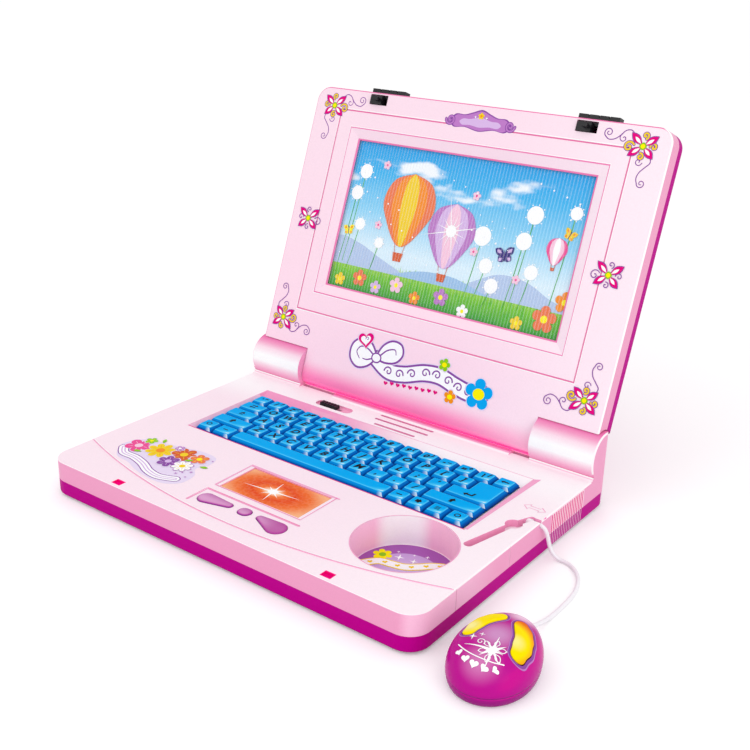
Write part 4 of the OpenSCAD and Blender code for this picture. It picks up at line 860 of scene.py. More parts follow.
@dataclass(frozen=True)
class ClickPlastic(Finish):
    """Glossy yellow ABS of the mouse's buttons, with a pale painted highlight, and orange towards the right one's
    outer edge.

    Attributes:
        side: 1 for the right button and -1 for the left one.
    """

    grain_mm: float = 0.7
    depth_mm: float = 0.003
    vary: float = 0.01
    side: int = 1

    def paint(self, g: Surface) -> Any:
        """Gives yellow with a pale spot of painted highlight and, on the right button, orange round its outer edge.

        Args:
            g: the material's tree.

        Returns:
            The colour.
        """
        pale, middle = (
            g.add("VectorMath", {0: g.place, 1: tuple(Mouse.at(*at))}, out="Value", operation="DISTANCE")
            for at in ((self.side * 12.0 - 1.5, -3.0, 24.0), (4.5, -4.5, 23.0)))
        # painted highlight: a pale spot on each button
        colour = g.tint(linear(self.colour), "FFF6A6", pale, 0.0075, 0.001, 0.9)
        if self.side > 0:
            colour = g.tint(colour, "F9A818", middle, 0.0132, 0.0165)
            colour = g.tint(colour, "EA5A10", middle, 0.0158, 0.0185, 0.85)
        return colour


@dataclass(frozen=True)
class KeyTopPlastic(Finish):
    """Gloss blue ABS of a keycap's top: cyan, fading to a white painted highlight at the front right corner."""

    grain_mm: float = 0.5
    depth_mm: float = 0.004
    vary: float = 0.01

    def paint(self, g: Surface) -> Any:
        """Gives cyan with a painted highlight that fades by the distance from the cap's right and, more steeply, from
        its front.

        Args:
            g: the material's tree.

        Returns:
            The colour.
        """
        cap = g.add("SeparateXYZ", {0: g.add("UVMap", uv_map="cap")}).node.outputs
        corner = g.add("Math", {0: cap[0], 1: g.both(cap[1], 2.1)}, operation="ADD")
        # painted highlight towards the front right corner
        colour = g.tint(linear(self.colour), "45CDF7", corner, 2.1, 1.1, 0.85)
        return g.tint(colour, "F8FDFF", corner, 1.35, 0.62)


@dataclass(frozen=True)
class KeySidePlastic(Finish):
    """The keycap's bevels, shaded copies of the same blue: deep painted shade at the foot, a paler painted highlight
    at the front edge's end.

    Attributes:
        front: whether the bevel is a front one.
    """

    grain_mm: float = 0.5
    depth_mm: float = 0.004
    vary: float = 0.01
    front: bool = False

    def paint(self, g: Surface) -> Any:
        """Gives blue with painted shade that deepens to the foot and, on a front bevel, a painted highlight that pales
        to the right.

        Args:
            g: the material's tree.

        Returns:
            The colour.
        """
        # painted shade towards the foot
        colour = g.tint(linear(self.colour), "0750A6", g.z, (DECK_Z + 0.1) * MM, (DECK_Z - 1.6) * MM)
        if self.front:
            # painted highlight towards the front bevel's right end
            from_right = g.add("SeparateXYZ", {0: g.add("UVMap", uv_map="cap")}, out="X")
            colour = g.tint(colour, "E6F8FF", from_right, 0.62, 0.08)
        return colour


@dataclass(frozen=True)
class ButtonPlastic(Finish):
    """Polished purple ABS of a deck button, painted by how it faces: a rolled rim in dark shade and a lilac crown of
    highlight.
    """

    grain_mm: float = 0.5
    depth_mm: float = 0.003
    vary: float = 0.01

    def paint(self, g: Surface) -> Any:
        """Gives purple painted by how far the surface faces up, with painted shade deeper at the front and on the
        right button.

        Args:
            g: the material's tree.

        Returns:
            The colour.
        """
        # painted light and shade by how far the surface faces up
        colour = g.add("ValToRGB", {0: g.up}, stops=(
            (0.5, "8E2A8C"), (1.0, "DB9CCB"), (0.9, "A844A0"), (0.975, "C767AC")))
        # painted shade at the front and on the right button
        colour = g.tint(colour, "B0489C", g.y, -0.0905, -0.083, 0.65)
        return g.tint(colour, "B5459A", g.x, 0.014, 0.032, 0.8)


@dataclass(frozen=True)
class PanelPlastic(Finish):
    """Orange translucent polystyrene over three lamps, their glow painted in: red-orange at the glow, pale orange at
    the corners.
    """

    grain_mm: float = 1.6
    depth_mm: float = 0.02
    ior: float = 1.59

    def paint(self, g: Surface) -> Any:
        """Gives orange with a painted glow by the distance from the star's middle, with pale speckles.

        Args:
            g: the material's tree.

        Returns:
            The colour.
        """
        near = g.add("VectorMath", {0: g.place, 1: tuple(DECK.at(*PANEL_STAR, -0.8))}, operation="SUBTRACT")
        oval = g.add("VectorMath", {0: near, 1: (0.75, 1.3, 0)}, operation="MULTIPLY")
        distance = g.add("VectorMath", {0: oval}, out="Value", operation="LENGTH")
        # painted glow of the lamps, white at the middle
        lamp = g.add("MapRange", {"Value": distance, "From Min": 0.0, "From Max": 0.03})
        colour = g.add("ValToRGB", {0: lamp}, stops=(
            (0.0, "FFFFFF"), (1.0, "F6B888"), (0.1, "FFE2C4"), (0.22, "EE7430"), (0.4, "E04408"),
            (0.7, "EC7030")))
        speckle = g.add("TexVoronoi", {"Vector": g.place, "Scale": 450.0}, out="Distance")
        return g.tint(colour, "FBC9A0", speckle, 0.35, 0.75, 0.1)

    def glow(self, g: Surface) -> tuple[str, Any]:
        """Gives the faint light of the lamps beneath."""
        return "E4561E", 0.05


@dataclass(frozen=True)
class RibbedSheet(Finish):
    """Clear lenticular PET: upright ribs that catch the light over the card.

    Attributes:
        rib_mm: the width of a rib. Real ribs are 0.5 mm apart and would blur, so they are drawn coarser.
    """

    ior: float = 1.57
    rib_mm: float = 2.6

    def build(self) -> bpy.types.Material:
        """Makes the material.

        Returns:
            The finished material.
        """
        g = Surface(self.name)
        wave = g.add("Math", {0: g.both(g.x, 2 * math.pi * 1000 / self.rib_mm)}, operation="SINE")
        veil = g.add("MapRange", {"Value": wave, "To Min": 0.03, "To Max": 0.17})
        bump = g.add("Bump", {"Height": wave, "Distance": 0.00006, "Strength": 0.6})
        shader = g.add("BsdfPrincipled", {
            "Base Color": linear(self.colour), "Roughness": self.roughness, "IOR": self.ior, "Alpha": veil,
            "Specular IOR Level": 0.15, "Normal": bump})
        g.add("OutputMaterial", {"Surface": shader})
        return g.owner


@dataclass(frozen=True)
class SceneCard(Finish):
    """Offset-printed card behind the window: a blue sky with soft clouds, pale at the horizon, over a meadow.

    Attributes:
        half: half the height of the sky and the meadow together, in metres.
    """

    grain_mm: float = 0.5
    depth_mm: float = 0.002
    vary: float = 0.0
    half: float = 0.056

    def paint(self, g: Surface) -> Any:
        """Gives the sky with its clouds and the meadow.

        Args:
            g: the material's tree.

        Returns:
            The colour.
        """
        middle = tuple(LID_FACE.at(0, SCREEN_UP, -CARD_DEPTH))
        near = g.add("VectorMath", {0: g.place, 1: middle}, operation="SUBTRACT")
        up = g.add("VectorMath", {0: near, 1: LID_UP}, out="Value", operation="DOT_PRODUCT")
        across = g.add("SeparateXYZ", {0: near}, out="X")
        share = g.add("MapRange", {"Value": up, "From Min": -self.half, "From Max": self.half})
        sky = g.add("ValToRGB", {0: share}, stops=(
            (0.0, "CFEAF8"), (1.0, "14A3E6"), (0.3, "DDF1FB"), (0.55, "8FD3F3"), (0.8, "3DB6EC")))
        # clouds about 30 mm long, and blades of grass about 1.2 mm wide
        flat = g.add("CombineXYZ", {0: across, 1: up, 2: 0.02})
        noise, blade = (
            g.add("TexNoise", {
                "Vector": g.add("VectorMath", {0: flat, 1: (1.0, stretch, 1.0)}, operation="MULTIPLY"),
                "Scale": scale, "Detail": detail})
            for stretch, scale, detail in ((2.3, 26.0, 3.0), (0.16, 620.0, 2.0)))
        sky = g.tint(sky, "FFFFFF", g.both(noise, g.zone((up, 0.018, 0.052, 0.008))), 0.5, 0.66, 0.9)
        # the meadow is yellow-green above and deeper green at the foot
        grass = g.add("MapRange", {"Value": up, "From Min": -self.half, "From Max": -0.026})
        green = g.add("ValToRGB", {0: grass}, stops=((0.0, "2F9E36"), (1.0, "D5E86A"), (0.45, "79C62E")))
        green = g.tint(green, "4FB22B", blade, 0.5, 0.68, 0.7)
        ground = g.add("Math", {0: up, 1: g.both(blade, 0.016)}, operation="SUBTRACT")
        return g.tint(sky, green, ground, -0.0405, -0.0440)


@dataclass(frozen=True)
class WellLabelVinyl(Finish):
    """Printed vinyl on the well's floor: a purple ring round a lilac disc."""

    grain_mm: float = 0.6
    depth_mm: float = 0.003

    def paint(self, g: Surface) -> Any:
        """Gives the ring and the disc, which pales to its middle.

        Args:
            g: the material's tree.

        Returns:
            The colour.
        """
        distance = g.add("VectorMath", {0: g.place, 1: tuple(WELL_FLOOR.at(0.5, -1.5))},
                         out="Value", operation="DISTANCE")
        colour = g.tint(linear(self.colour), "C9A3DB", distance, 0.0226, 0.0219)
        return g.tint(colour, "D9BDE6", distance, 0.021, 0.004, 0.8)


@dataclass(frozen=True)
class CircuitBoardMask(Finish):
    """Green solder mask over FR-4, with paler copper tracks about 1 mm wide."""

    grain_mm: float = 0.5

    def paint(self, g: Surface) -> Any:
        """Gives the mask with its tracks."""
        return g.add("TexBrick", {
            "Vector": g.place, "Scale": 110.0, "Color1": linear(self.colour), "Color2": linear("1C6B3C"),
            "Mortar": linear("5FA566"), "Mortar Size": 0.035})


@dataclass(frozen=True)
class CellSleeve(Finish):
    """Printed shrink sleeve of a dry cell: blue with a bare steel button and a white band."""

    grain_mm: float = 0.6

    def paint(self, g: Surface) -> Any:
        """Gives the sleeve with its band and the steel ends."""
        colour = g.tint(linear(self.colour), "F2F2F2", g.zone((g.x, -0.078, -0.072, 0.0002)), 0.3, 0.7)
        end = g.add("Math", {0: g.right}, operation="ABSOLUTE")
        return g.tint(colour, "C9CACC", end, 0.8, 0.95)


class Stuff(Enum):
    """Every finish of the computer and its mouse."""

    # fine-grained moulded ABS with a low, soft sheen, its light and shade painted into the colour, and a saturated
    # magenta with more pigment
    BASE = BaseShellPlastic("pink_abs_base", "FCE7F1", 0.35, 0.08)
    LID = LidPlastic("pink_abs_lid", "FBDFEC", 0.35, 0.08)
    MAGENTA = MagentaPlastic("magenta_abs", "BE008C", 0.35, 0.02)
    # ABS from a polished mould: soft highlights, mostly painted into the colour
    MOUSE = MousePlastic("magenta_gloss_abs", "BE1090", 0.24, 0.06)
    CLICK_LEFT = ClickPlastic("yellow_abs_left", "FFE400", 0.24, 0.03, side=-1)
    CLICK_RIGHT = ClickPlastic("yellow_abs_right", "FFE400", 0.24, 0.03, side=1)
    BUTTON = ButtonPlastic("purple_abs_button", "B45DB2", 0.2, 0.12)
    # keycap ABS, one blue in lit and shaded copies: cyan tops, bevels in deeper blue painted shade, and a thin painted
    # highlight line on the edge
    KEY_TOP = KeyTopPlastic("blue_abs_key_top", "00AAF2", 0.3, 0.012)
    KEY_FRONT = KeySidePlastic("blue_abs_key_front", "0290E0", 0.35, 0.015, front=True)
    KEY_SIDE = KeySidePlastic("blue_abs_key_side", "0278CE", 0.4, 0.015)
    KEY_EDGE = Finish("blue_abs_key_edge", "45C4F6", 0.3, 0.03, grain_mm=0.5, depth_mm=0.003, vary=0.01)
    # translucent polystyrene: a warm glow painted into its colour, paling to the corners
    PANEL = PanelPlastic("orange_polystyrene", "EC6A30", 0.25, 0.03)
    # satin black ABS: soft broad highlights
    BLACK = Finish("black_abs", "17161A", 0.35, 0.3, grain_mm=0.7, depth_mm=0.008, vary=0.02)
    # soft white PVC: smooth, slightly waxy, no sharp highlight
    VINYL = Finish("white_pvc", "F6F2F7", 0.42, 0.15, grain_mm=2.0, depth_mm=0.01, vary=0.02)
    # zinc-plated steel: pale, faintly blue, brushed by the thread rolling
    STEEL = Finish("zinc_plated_steel", "C4C6CA", 0.32, 0.5, 1.0, 0.4, 0.01, 0.04)
    # moulded feet: dull dark grey with an open grain
    RUBBER = Finish("thermoplastic_rubber", "4A4A4E", 0.8, 0.2, 0.0, 0.5, 0.05, 0.04)
    # solder mask: clear dark green gloss over the tracks
    BOARD = CircuitBoardMask("fr4_solder_mask", "2A8450", 0.35, 0.3)
    # the membrane: milky grey and matt
    SILICONE = Finish("silicone_rubber", "DAD5DE", 0.65, 0.2, 0.0, 1.0, 0.02, 0.02)
    # unpigmented inner parts: a warm off-white
    NATURAL = Finish("natural_polystyrene", "ECE8E2", 0.45, 0.2, 0.0, 1.0, 0.01, 0.02)
    # printed sleeve: smooth blue film with bright bare ends
    CELL = CellSleeve("pvc_shrink_sleeve", "2F62AE", 0.3, 0.3)
    # dark paper cone in a thin steel basket: fibrous, with a trace of metal
    SPEAKER = Finish("paper_and_steel_speaker", "45424A", 0.6, 0.2, 0.3, 0.6, 0.03, 0.05)
    # cast epoxy: glass-smooth and warm white
    LAMP = Finish("clear_epoxy_lamp", "FFF1DA", 0.1, 0.4, 0.0, 0.6, 0.002, 0.01)
    # clear sheet, printed card and printed vinyl: smooth, with the picture's own colours
    WINDOW = RibbedSheet("lenticular_pet", "F2FAFF", 0.15)
    CARD = SceneCard("printed_card", "7CC7F0", 0.4, 0.05)
    WELL_LABEL = WellLabelVinyl("printed_vinyl", "A75DB2", 0.4, 0.08)

    def made(self) -> bpy.types.Material:
        """Gives the finish's material, made once."""
        if self.value.name not in bpy.data.materials:
            self.value.build()
        return bpy.data.materials[self.value.name]


class Ink(Enum):
    """The inks of the printed decoration, as sRGB hex values."""

    WHITE = "FFFFFF"
    PLUM = "8B4BA3"
    ORCHID = "BE7CC6"
    LILAC = "D9B8E6"
    HALO = "E9DAF3"
    MAGENTA = "E5007D"
    ROSE = "EE4F97"
    LINE_PINK = "EE7FB4"
    SOFT_PINK = "F3A9CD"
    BLUSH = "F9CBE0"
    GOLD = "F4D21F"
    YELLOW = "FFF200"
    LIME = "8FCB1F"
    GREEN = "49AE3A"
    SKY = "00A7EF"
    NAVY = "3A2A7C"
    ORANGE = "F6921E"
    CORAL = "EE7A4A"
    RUST = "D9602E"
    HILL = "B7CBEA"
    HILL_NEAR = "9FC4E8"
    BLACK = "141216"

    def made(self) -> bpy.types.Material:
        """Gives the ink's material, which is made once.

        Returns:
            Screen-printed ink: smooth, with the faint mottle of a laid film.
        """
        name = "ink_" + self.name.lower()
        if name not in bpy.data.materials:
            Finish(name, self.value, 0.4, 0.05, 0.0, 0.4, 0.002, 0.012).build()
        return bpy.data.materials[name]


# ---- making pieces


def placed(name: str, data: Any) -> bpy.types.Object:
    """Makes an object of a mesh, a curve, a lamp or a camera.

    Args:
        name: the object's name.
        data: what it holds.

    Returns:
        The object, in the scene.
    """
    made = bpy.data.objects.new(name, data)
    bpy.context.scene.collection.objects.link(made)
    return made


def settled(made: bpy.types.Object) -> bpy.types.Mesh:
    """Gives a mesh of an object with its modifiers applied."""
    bpy.context.view_layer.update()
    return bpy.data.meshes.new_from_object(made.evaluated_get(bpy.context.evaluated_depsgraph_get()))


def piece(
    name: str, points: Sequence[Vector], faces: Sequence[Sequence[int]], kinds: Sequence[int],
    materials: Sequence[bpy.types.Material], body: str, smooth: bool = True
) -> bpy.types.Object:
    """Makes a mesh piece that rides on a body.

    Args:
        name: the piece's name.
        points: its points in metres.
        faces: its faces as point numbers.
        kinds: for each face, the number of its material.
        materials: its materials.
        body: the body that it moves with.
        smooth: whether its faces shade smoothly.

    Returns:
        The new object.
    """
    mesh = bpy.data.meshes.new(name)
    mesh.from_pydata([tuple(p) for p in points], [], [tuple(f) for f in faces])
    for material in materials:
        mesh.materials.append(material)
    mesh.polygons.foreach_set("material_index", list(kinds))
    mesh.polygons.foreach_set("use_smooth", [smooth] * len(mesh.polygons))
    mesh.update()
    made = placed(name, mesh)
    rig.ride(made, body)
    return made


class Print:
    """Ink on a surface: flat shapes in layers, each a hair above the one beneath.

    STEP is the height of a layer, and HAIR what each further shape adds, in millimetres.
    """

    STEP = 0.012
    HAIR = 0.0015

    def __init__(self, name: str, place: Placing, body: str, lift: float = 0.03) -> None:
        """Starts an empty print.

        Args:
            name: the piece's name.
            place: turns two numbers on the surface and a lift into a point.
            body: the body that it moves with.
            lift: the millimetres between the surface and the first layer.
        """
        self.name, self.place, self.body, self.lift = name, place, body, lift
        self.points: list[Vector] = []
        self.faces: list[Face] = []
        self.inks: list[Ink] = []
        self.shapes = 0

    def note(self, ink: Ink) -> None:
        """Gives an ink to the faces that have none yet."""
        self.inks += [ink] * (len(self.faces) - len(self.inks))

    def next_lift(self, layer: int) -> float:
        """Gives the height of a new shape, so that no two shapes lie in one plane."""
        self.shapes += 1
        return self.lift + layer * self.STEP + self.shapes * self.HAIR

    def fill(self, outline: Sequence[Flat], ink: Ink, layer: int = 0, rings: int = 1) -> None:
        """Fills an outline with an ink.

        Args:
            outline: the points round the shape.
            ink: its ink.
            layer: the layer that it lies on.
            rings: the rings of faces towards the middle, more than 1 on a curved surface.
        """
        lift = self.next_lift(layer)
        turn = sum(a[0] * b[1] - b[0] * a[1] for a, b in zip(outline, [*outline[1:], outline[0]]))
        ring = list(outline) if turn > 0 else list(outline)[::-1]
        n, start = len(ring), len(self.points)
        mu, mv = sum(u for u, _ in ring) / n, sum(v for _, v in ring) / n
        for k in range(rings):
            share = 1 - k / rings
            self.points += [self.place(mu + (u - mu) * share, mv + (v - mv) * share, lift) for u, v in ring]
        self.faces += [*ring_faces(rings, n, start), tuple(range(start + (rings - 1) * n, start + rings * n))]
        self.note(ink)

    def line(
        self, path: Sequence[Flat], width: float, ink: Ink, layer: int = 0,
        closed: bool = False, thin: float = 1.0, round_ends: bool = True
    ) -> None:
        """Draws a line of a width.

        Args:
            path: the points that it follows.
            width: its width where it starts.
            ink: its ink.
            layer: the layer that it lies on.
            closed: whether it comes back to its start.
            thin: its last width as a share of the first.
            round_ends: whether each end is a half disc.
        """
        n = len(path)
        start = len(self.points)
        lift = self.next_lift(layer)
        for i, (u, v) in enumerate(path):
            before = path[(i - 1) % n] if closed or i > 0 else path[0]
            after = path[(i + 1) % n] if closed or i < n - 1 else path[-1]
            du, dv = after[0] - before[0], after[1] - before[1]
            size = math.hypot(du, dv) or 1.0
            # at a corner the line keeps its width
            back = math.hypot(u - before[0], v - before[1]) or 1.0
            turn = abs((u - before[0]) * du + (v - before[1]) * dv) / (back * size)
            turn = turn if closed or 0 < i < n - 1 else 1.0
            half = width / 2 * (1 + (thin - 1) * i / max(n - 1, 1)) / max(turn, 0.6)
            nu, nv = -dv / size * half, du / size * half
            self.points += [self.place(u - nu, v - nv, lift), self.place(u + nu, v + nv, lift)]
        for i in range(n if closed else n - 1):
            a, b = start + 2 * i, start + 2 * ((i + 1) % n)
            self.faces.append((a, b, b + 1, a + 1))
        self.note(ink)
        if round_ends and not closed:
            for end, size in ((path[0], width), (path[-1], width * thin)):
                self.fill(Draw.oval(*end, size / 2, n=12), ink, layer)

    def rays(
        self, x: float, y: float, reaches: Sequence[tuple[float, float]], width: float, layer: int = 0,
        thin: float = 0.05, tall: float = 1.0, steps: int = 1
    ) -> None:
        """Draws white rays out of a middle.

        Args:
            x: the middle's first number.
            y: its second number.
            reaches: for each ray its angle in degrees and its length.
            width: the rays' width at the middle.
            layer: the layer that they lie on.
            thin: their last width as a share of the first.
            tall: their height as a share of the round one.
            steps: the parts of each ray, more than 1 on a curved surface.
        """
        for turn, reach in reaches:
            a, b = Draw.polar(reach, math.radians(turn))
            path = [(x + a * t / steps, y + b * tall * t / steps) for t in range(steps + 1)]
            self.line(path, width, Ink.WHITE, layer, thin=thin, round_ends=False)

    def done(self) -> bpy.types.Object:
        """Makes the print's piece.

        Returns:
            The new object.
        """
        used = sorted(set(self.inks), key=lambda ink: ink.name)
        kinds, materials = [used.index(ink) for ink in self.inks], [ink.made() for ink in used]
        return piece(self.name, self.points, self.faces, kinds, materials, self.body, False)


# ---- camera, light and floor


@dataclass
class Studio:
    """The camera, two soft lamps, the even light of the room and a white floor.

    Places are in metres, and the camera's turn to the left, its dip and its roll are in radians.

    Attributes:
        lamps: each lamp's name, place and power in watts.
        floor_size: half the floor's side.
    """

    eye: Spatial = (0.4139, -0.5111, 0.3533)
    turn: float = 0.6378
    dip: float = 0.3818
    roll: float = 0.0240
    lens: float = 52.42
    room: float = 0.88
    lamps: tuple[tuple[str, Spatial, float], ...] = (
        ("window_light", (-0.45, -0.95, 1.0), 2.6), ("side_light", (1.25, -0.6, 0.5), 4.03))
    lamp_size: float = 0.9
    aim: Spatial = (0.02, 0.0, 0.08)
    floor_size: float = 14.0

    def camera(self) -> None:
        """Sets the camera."""
        sideways, forwards = Draw.polar(math.cos(self.dip), self.turn)[::-1]
        ahead = Vector((-sideways, forwards, -math.sin(self.dip)))
        right = ahead.cross(Vector((0, 0, 1))).normalized()
        up = right.cross(ahead)
        side = right * math.cos(self.roll) + up * math.sin(self.roll)
        top = up * math.cos(self.roll) - right * math.sin(self.roll)
        data = bpy.data.cameras.new("camera")
        data.lens, data.sensor_width, data.sensor_fit = self.lens, 36.0, "HORIZONTAL"
        data.clip_start, data.clip_end = 0.01, 60.0
        camera = placed("camera", data)
        camera.matrix_world = Matrix.Translation(self.eye) @ Matrix((side, top, -ahead)).transposed().to_4x4()
        bpy.context.scene.camera = camera

    def light(self) -> None:
        """Sets the room's light, the lamps and the plain colour handling."""
        bpy.context.scene.view_settings.view_transform = "Standard"
        g = Graph("studio", "worlds")
        bpy.context.scene.world = g.owner
        # the room lights the part a little less than it shows behind it
        level = g.add("MapRange", {"Value": g.seen(), "To Min": self.room, "To Max": 1.0})
        back = g.add("Background", {"Color": (1, 1, 1, 1), "Strength": level})
        g.add("OutputWorld", {"Surface": back})
        for name, at, watts in self.lamps:
            data = bpy.data.lights.new(name, "AREA")
            data.energy, data.size = watts, self.lamp_size
            lamp = placed(name, data)
            lamp.location = at
            lamp.rotation_euler = (Vector(self.aim) - Vector(at)).to_track_quat("-Z", "Y").to_euler()

    def floor(self) -> None:
        """Lays the white floor, which keeps the object's soft shadow."""
        g = Graph("white_floor")
        seen = g.seen()
        colour = g.add("Mix", {0: seen, 6: linear("E9E9EA"), 7: linear("F6F6F6")}, out=2, data_type="RGBA")
        cloth = g.add("BsdfDiffuse", {"Color": colour})
        glow = g.add("Emission", {"Color": (1, 1, 1, 1), "Strength": 0.2})
        both = g.add("AddShader", {0: cloth, 1: glow})
        g.add("OutputMaterial", {"Surface": g.add("MixShader", {0: seen, 1: cloth, 2: both})})
        mesh = bpy.data.meshes.new("floor")
        corners = Draw.frame(self.floor_size, self.floor_size)
        mesh.from_pydata([(x, y, 0) for x, y in corners], [], [(0, 1, 2, 3)])
        mesh.materials.append(g.owner)
        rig.stage(placed("floor", mesh))


# ---- the mouse's lead


@dataclass
class MouseLead:
    """The thin white lead from the base's right side, over its edge to the floor and to the mouse's nose.

    Attributes:
        radius: half its thickness.
        top: the height of the hole that it leaves.
        hole: the hole's distance from the base's front.
        hang: each point's distance from the right side and from the front, and the share of the drop left.
        rise: near the mouse, the share of the way left that is gone and the share of the rise to its seam.
    """

    radius: float = 1.3
    top: float = 23.6
    hole: float = 132.0
    hang: tuple[Spatial, ...] = (
        (-10, 132, 1), (-7, 132, 1), (-4, 132, 1), (-1, 132.1, 0.995), (1.7, 132.5, 0.945), (3.4, 133, 0.83),
        (4.5, 133.6, 0.66), (5.3, 134.4, 0.46), (6.4, 135.4, 0.27), (8.6, 136.6, 0.11), (11.8, 137.6, 0.02),
        (15.6, 137.6, 0), (20, 136.1, 0), (24.6, 132.9, 0), (28.9, 128.1, 0), (32.2, 122, 0),
        (34.6, 115.4, 0), (36.1, 108.2, 0), (36.8, 100.8, 0), (37, 93.4, 0), (36.9, 86, 0),
    )
    rise: tuple[Flat, ...] = ((0.33, 0.1), (0.62, 0.42), (0.86, 0.82))

    def route(self) -> list[Vector]:
        """Gives the route.

        Returns:
            Its points in metres, from the base to the mouse.
        """
        foot, drop, lift = self.radius, self.top - self.radius, Mouse.SEAM - self.radius
        points = [Vector((BASE_W / 2 + x, y - BASE_D / 2, foot + share * drop)) for x, y, share in self.hang]
        nose = [Mouse.at(0, Mouse.LENGTH / 2 + t, Mouse.SEAM) / MM for t in (7, -2)]
        last = points[-1]
        for along, up in self.rise:
            flat = last + (nose[0] - last) * along
            points.append(Vector((flat.x, flat.y, foot + up * lift)))
        return [p * MM for p in points + nose]

    def lay(self) -> None:
        points = self.route()
        data = bpy.data.curves.new("mouse_lead", "CURVE")
        data.dimensions, data.bevel_depth, data.bevel_resolution = "3D", self.radius * MM, 5
        data.resolution_u, data.use_fill_caps = 10, True
        knots = data.splines.new("BEZIER").bezier_points
        knots.add(len(points) - 1)
        for knot, point in zip(knots, points):
            knot.co, knot.handle_left_type, knot.handle_right_type = point, "AUTO", "AUTO"
        length = sum((b - a).length for a, b in zip(points, points[1:]))
        data.materials.append(Stuff.VINYL.made())
        lead = placed("mouse_lead", data)
        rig.ride(lead, "base")
        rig.replaces(lead, "mouse_cord")
        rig.slot(lead, "white_vinyl")
        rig.cord(
            lead, exit=tuple(Vector((BASE_W / 2, self.hole - BASE_D / 2, self.top)) * MM),
            length=round(length, 4), diameter=2 * self.radius * MM, far_end="object", stiffness="limp",
            lay="loose")
        LOG.info("lead of %.0f mm", length / MM)


# ---- the keyboard


class Mark(Enum):
    """The plain signs of the wide keys.

    An arrow and a bar hold a filled outline, level strokes as left end, right end and height, and the width
    of the strokes. Points are in millimetres from the sign's middle.
    """

    LEFT = (((-3, 0), (-0.6, 1.6), (-0.6, 0.6), (3, 0.6), (3, -0.6), (-0.6, -0.6), (-0.6, -1.6)), (), 0)
    UP = (((-2.4, 0), (0, 2.8), (2.4, 0), (1.1, 0), (1.1, -2.6), (-1.1, -2.6), (-1.1, 0)), (), 0)
    CAPITAL = (((-2.2, -0.4), (0, 2.4), (2.2, -0.4)), ((-1.4, 1.2, -1.8),), 0.9)
    ENTER = (((-3.6, -1.2), (-1.0, 0.8), (-1.0, -0.5), (2.2, -0.5), (2.2, 2.2), (3.6, 2.2), (3.6, -1.9),
              (-1.0, -1.9), (-1.0, -3.2)), (), 0)
    BAR = ((), ((-1.8, 1.8, -0.2),), 0.9)
    LIST = ((), ((-1.6, 1.6, -1.4), (-1.6, 1.6, 0), (-1.6, 1.6, 1.4)), 0.55)
    BOTH = ((3.2, 0), (1, 1.3), (1, 0.45), (-2.4, 0.45), (-2.4, -0.45), (1, -0.45), (1, -1.3))
    RING = "ring"
    BLOOM = "bloom"


class CapPart(IntEnum):
    """The parts of a keycap that have a finish of their own, painted light and shade of one blue, in the order of its
    materials.
    """

    TOP = 0
    BEVEL = 1
    SIDE = 2
    EDGE = 3


@dataclass(frozen=True)
class Key:
    """One key.

    Its start and width are in key pitches from the left, and row 0 is at the back. It holds a letter or a
    figure with perhaps a smaller one above, or else a plain mark, and covers one row or two.
    """

    start: float
    width: float
    row: int
    sign: str = ""
    second: str = ""
    mark: Mark | None = None
    rows: int = 1


@dataclass
class CapMesh:
    """The mesh of one body's keycaps while it is made.

    For each face it keeps its part of the cap, and for each point its distance from the cap's right and front
    in centimetres.
    """

    points: list[Vector] = field(default_factory=list)
    faces: list[Face] = field(default_factory=list)
    kinds: list[int] = field(default_factory=list)
    spots: list[Flat] = field(default_factory=list)


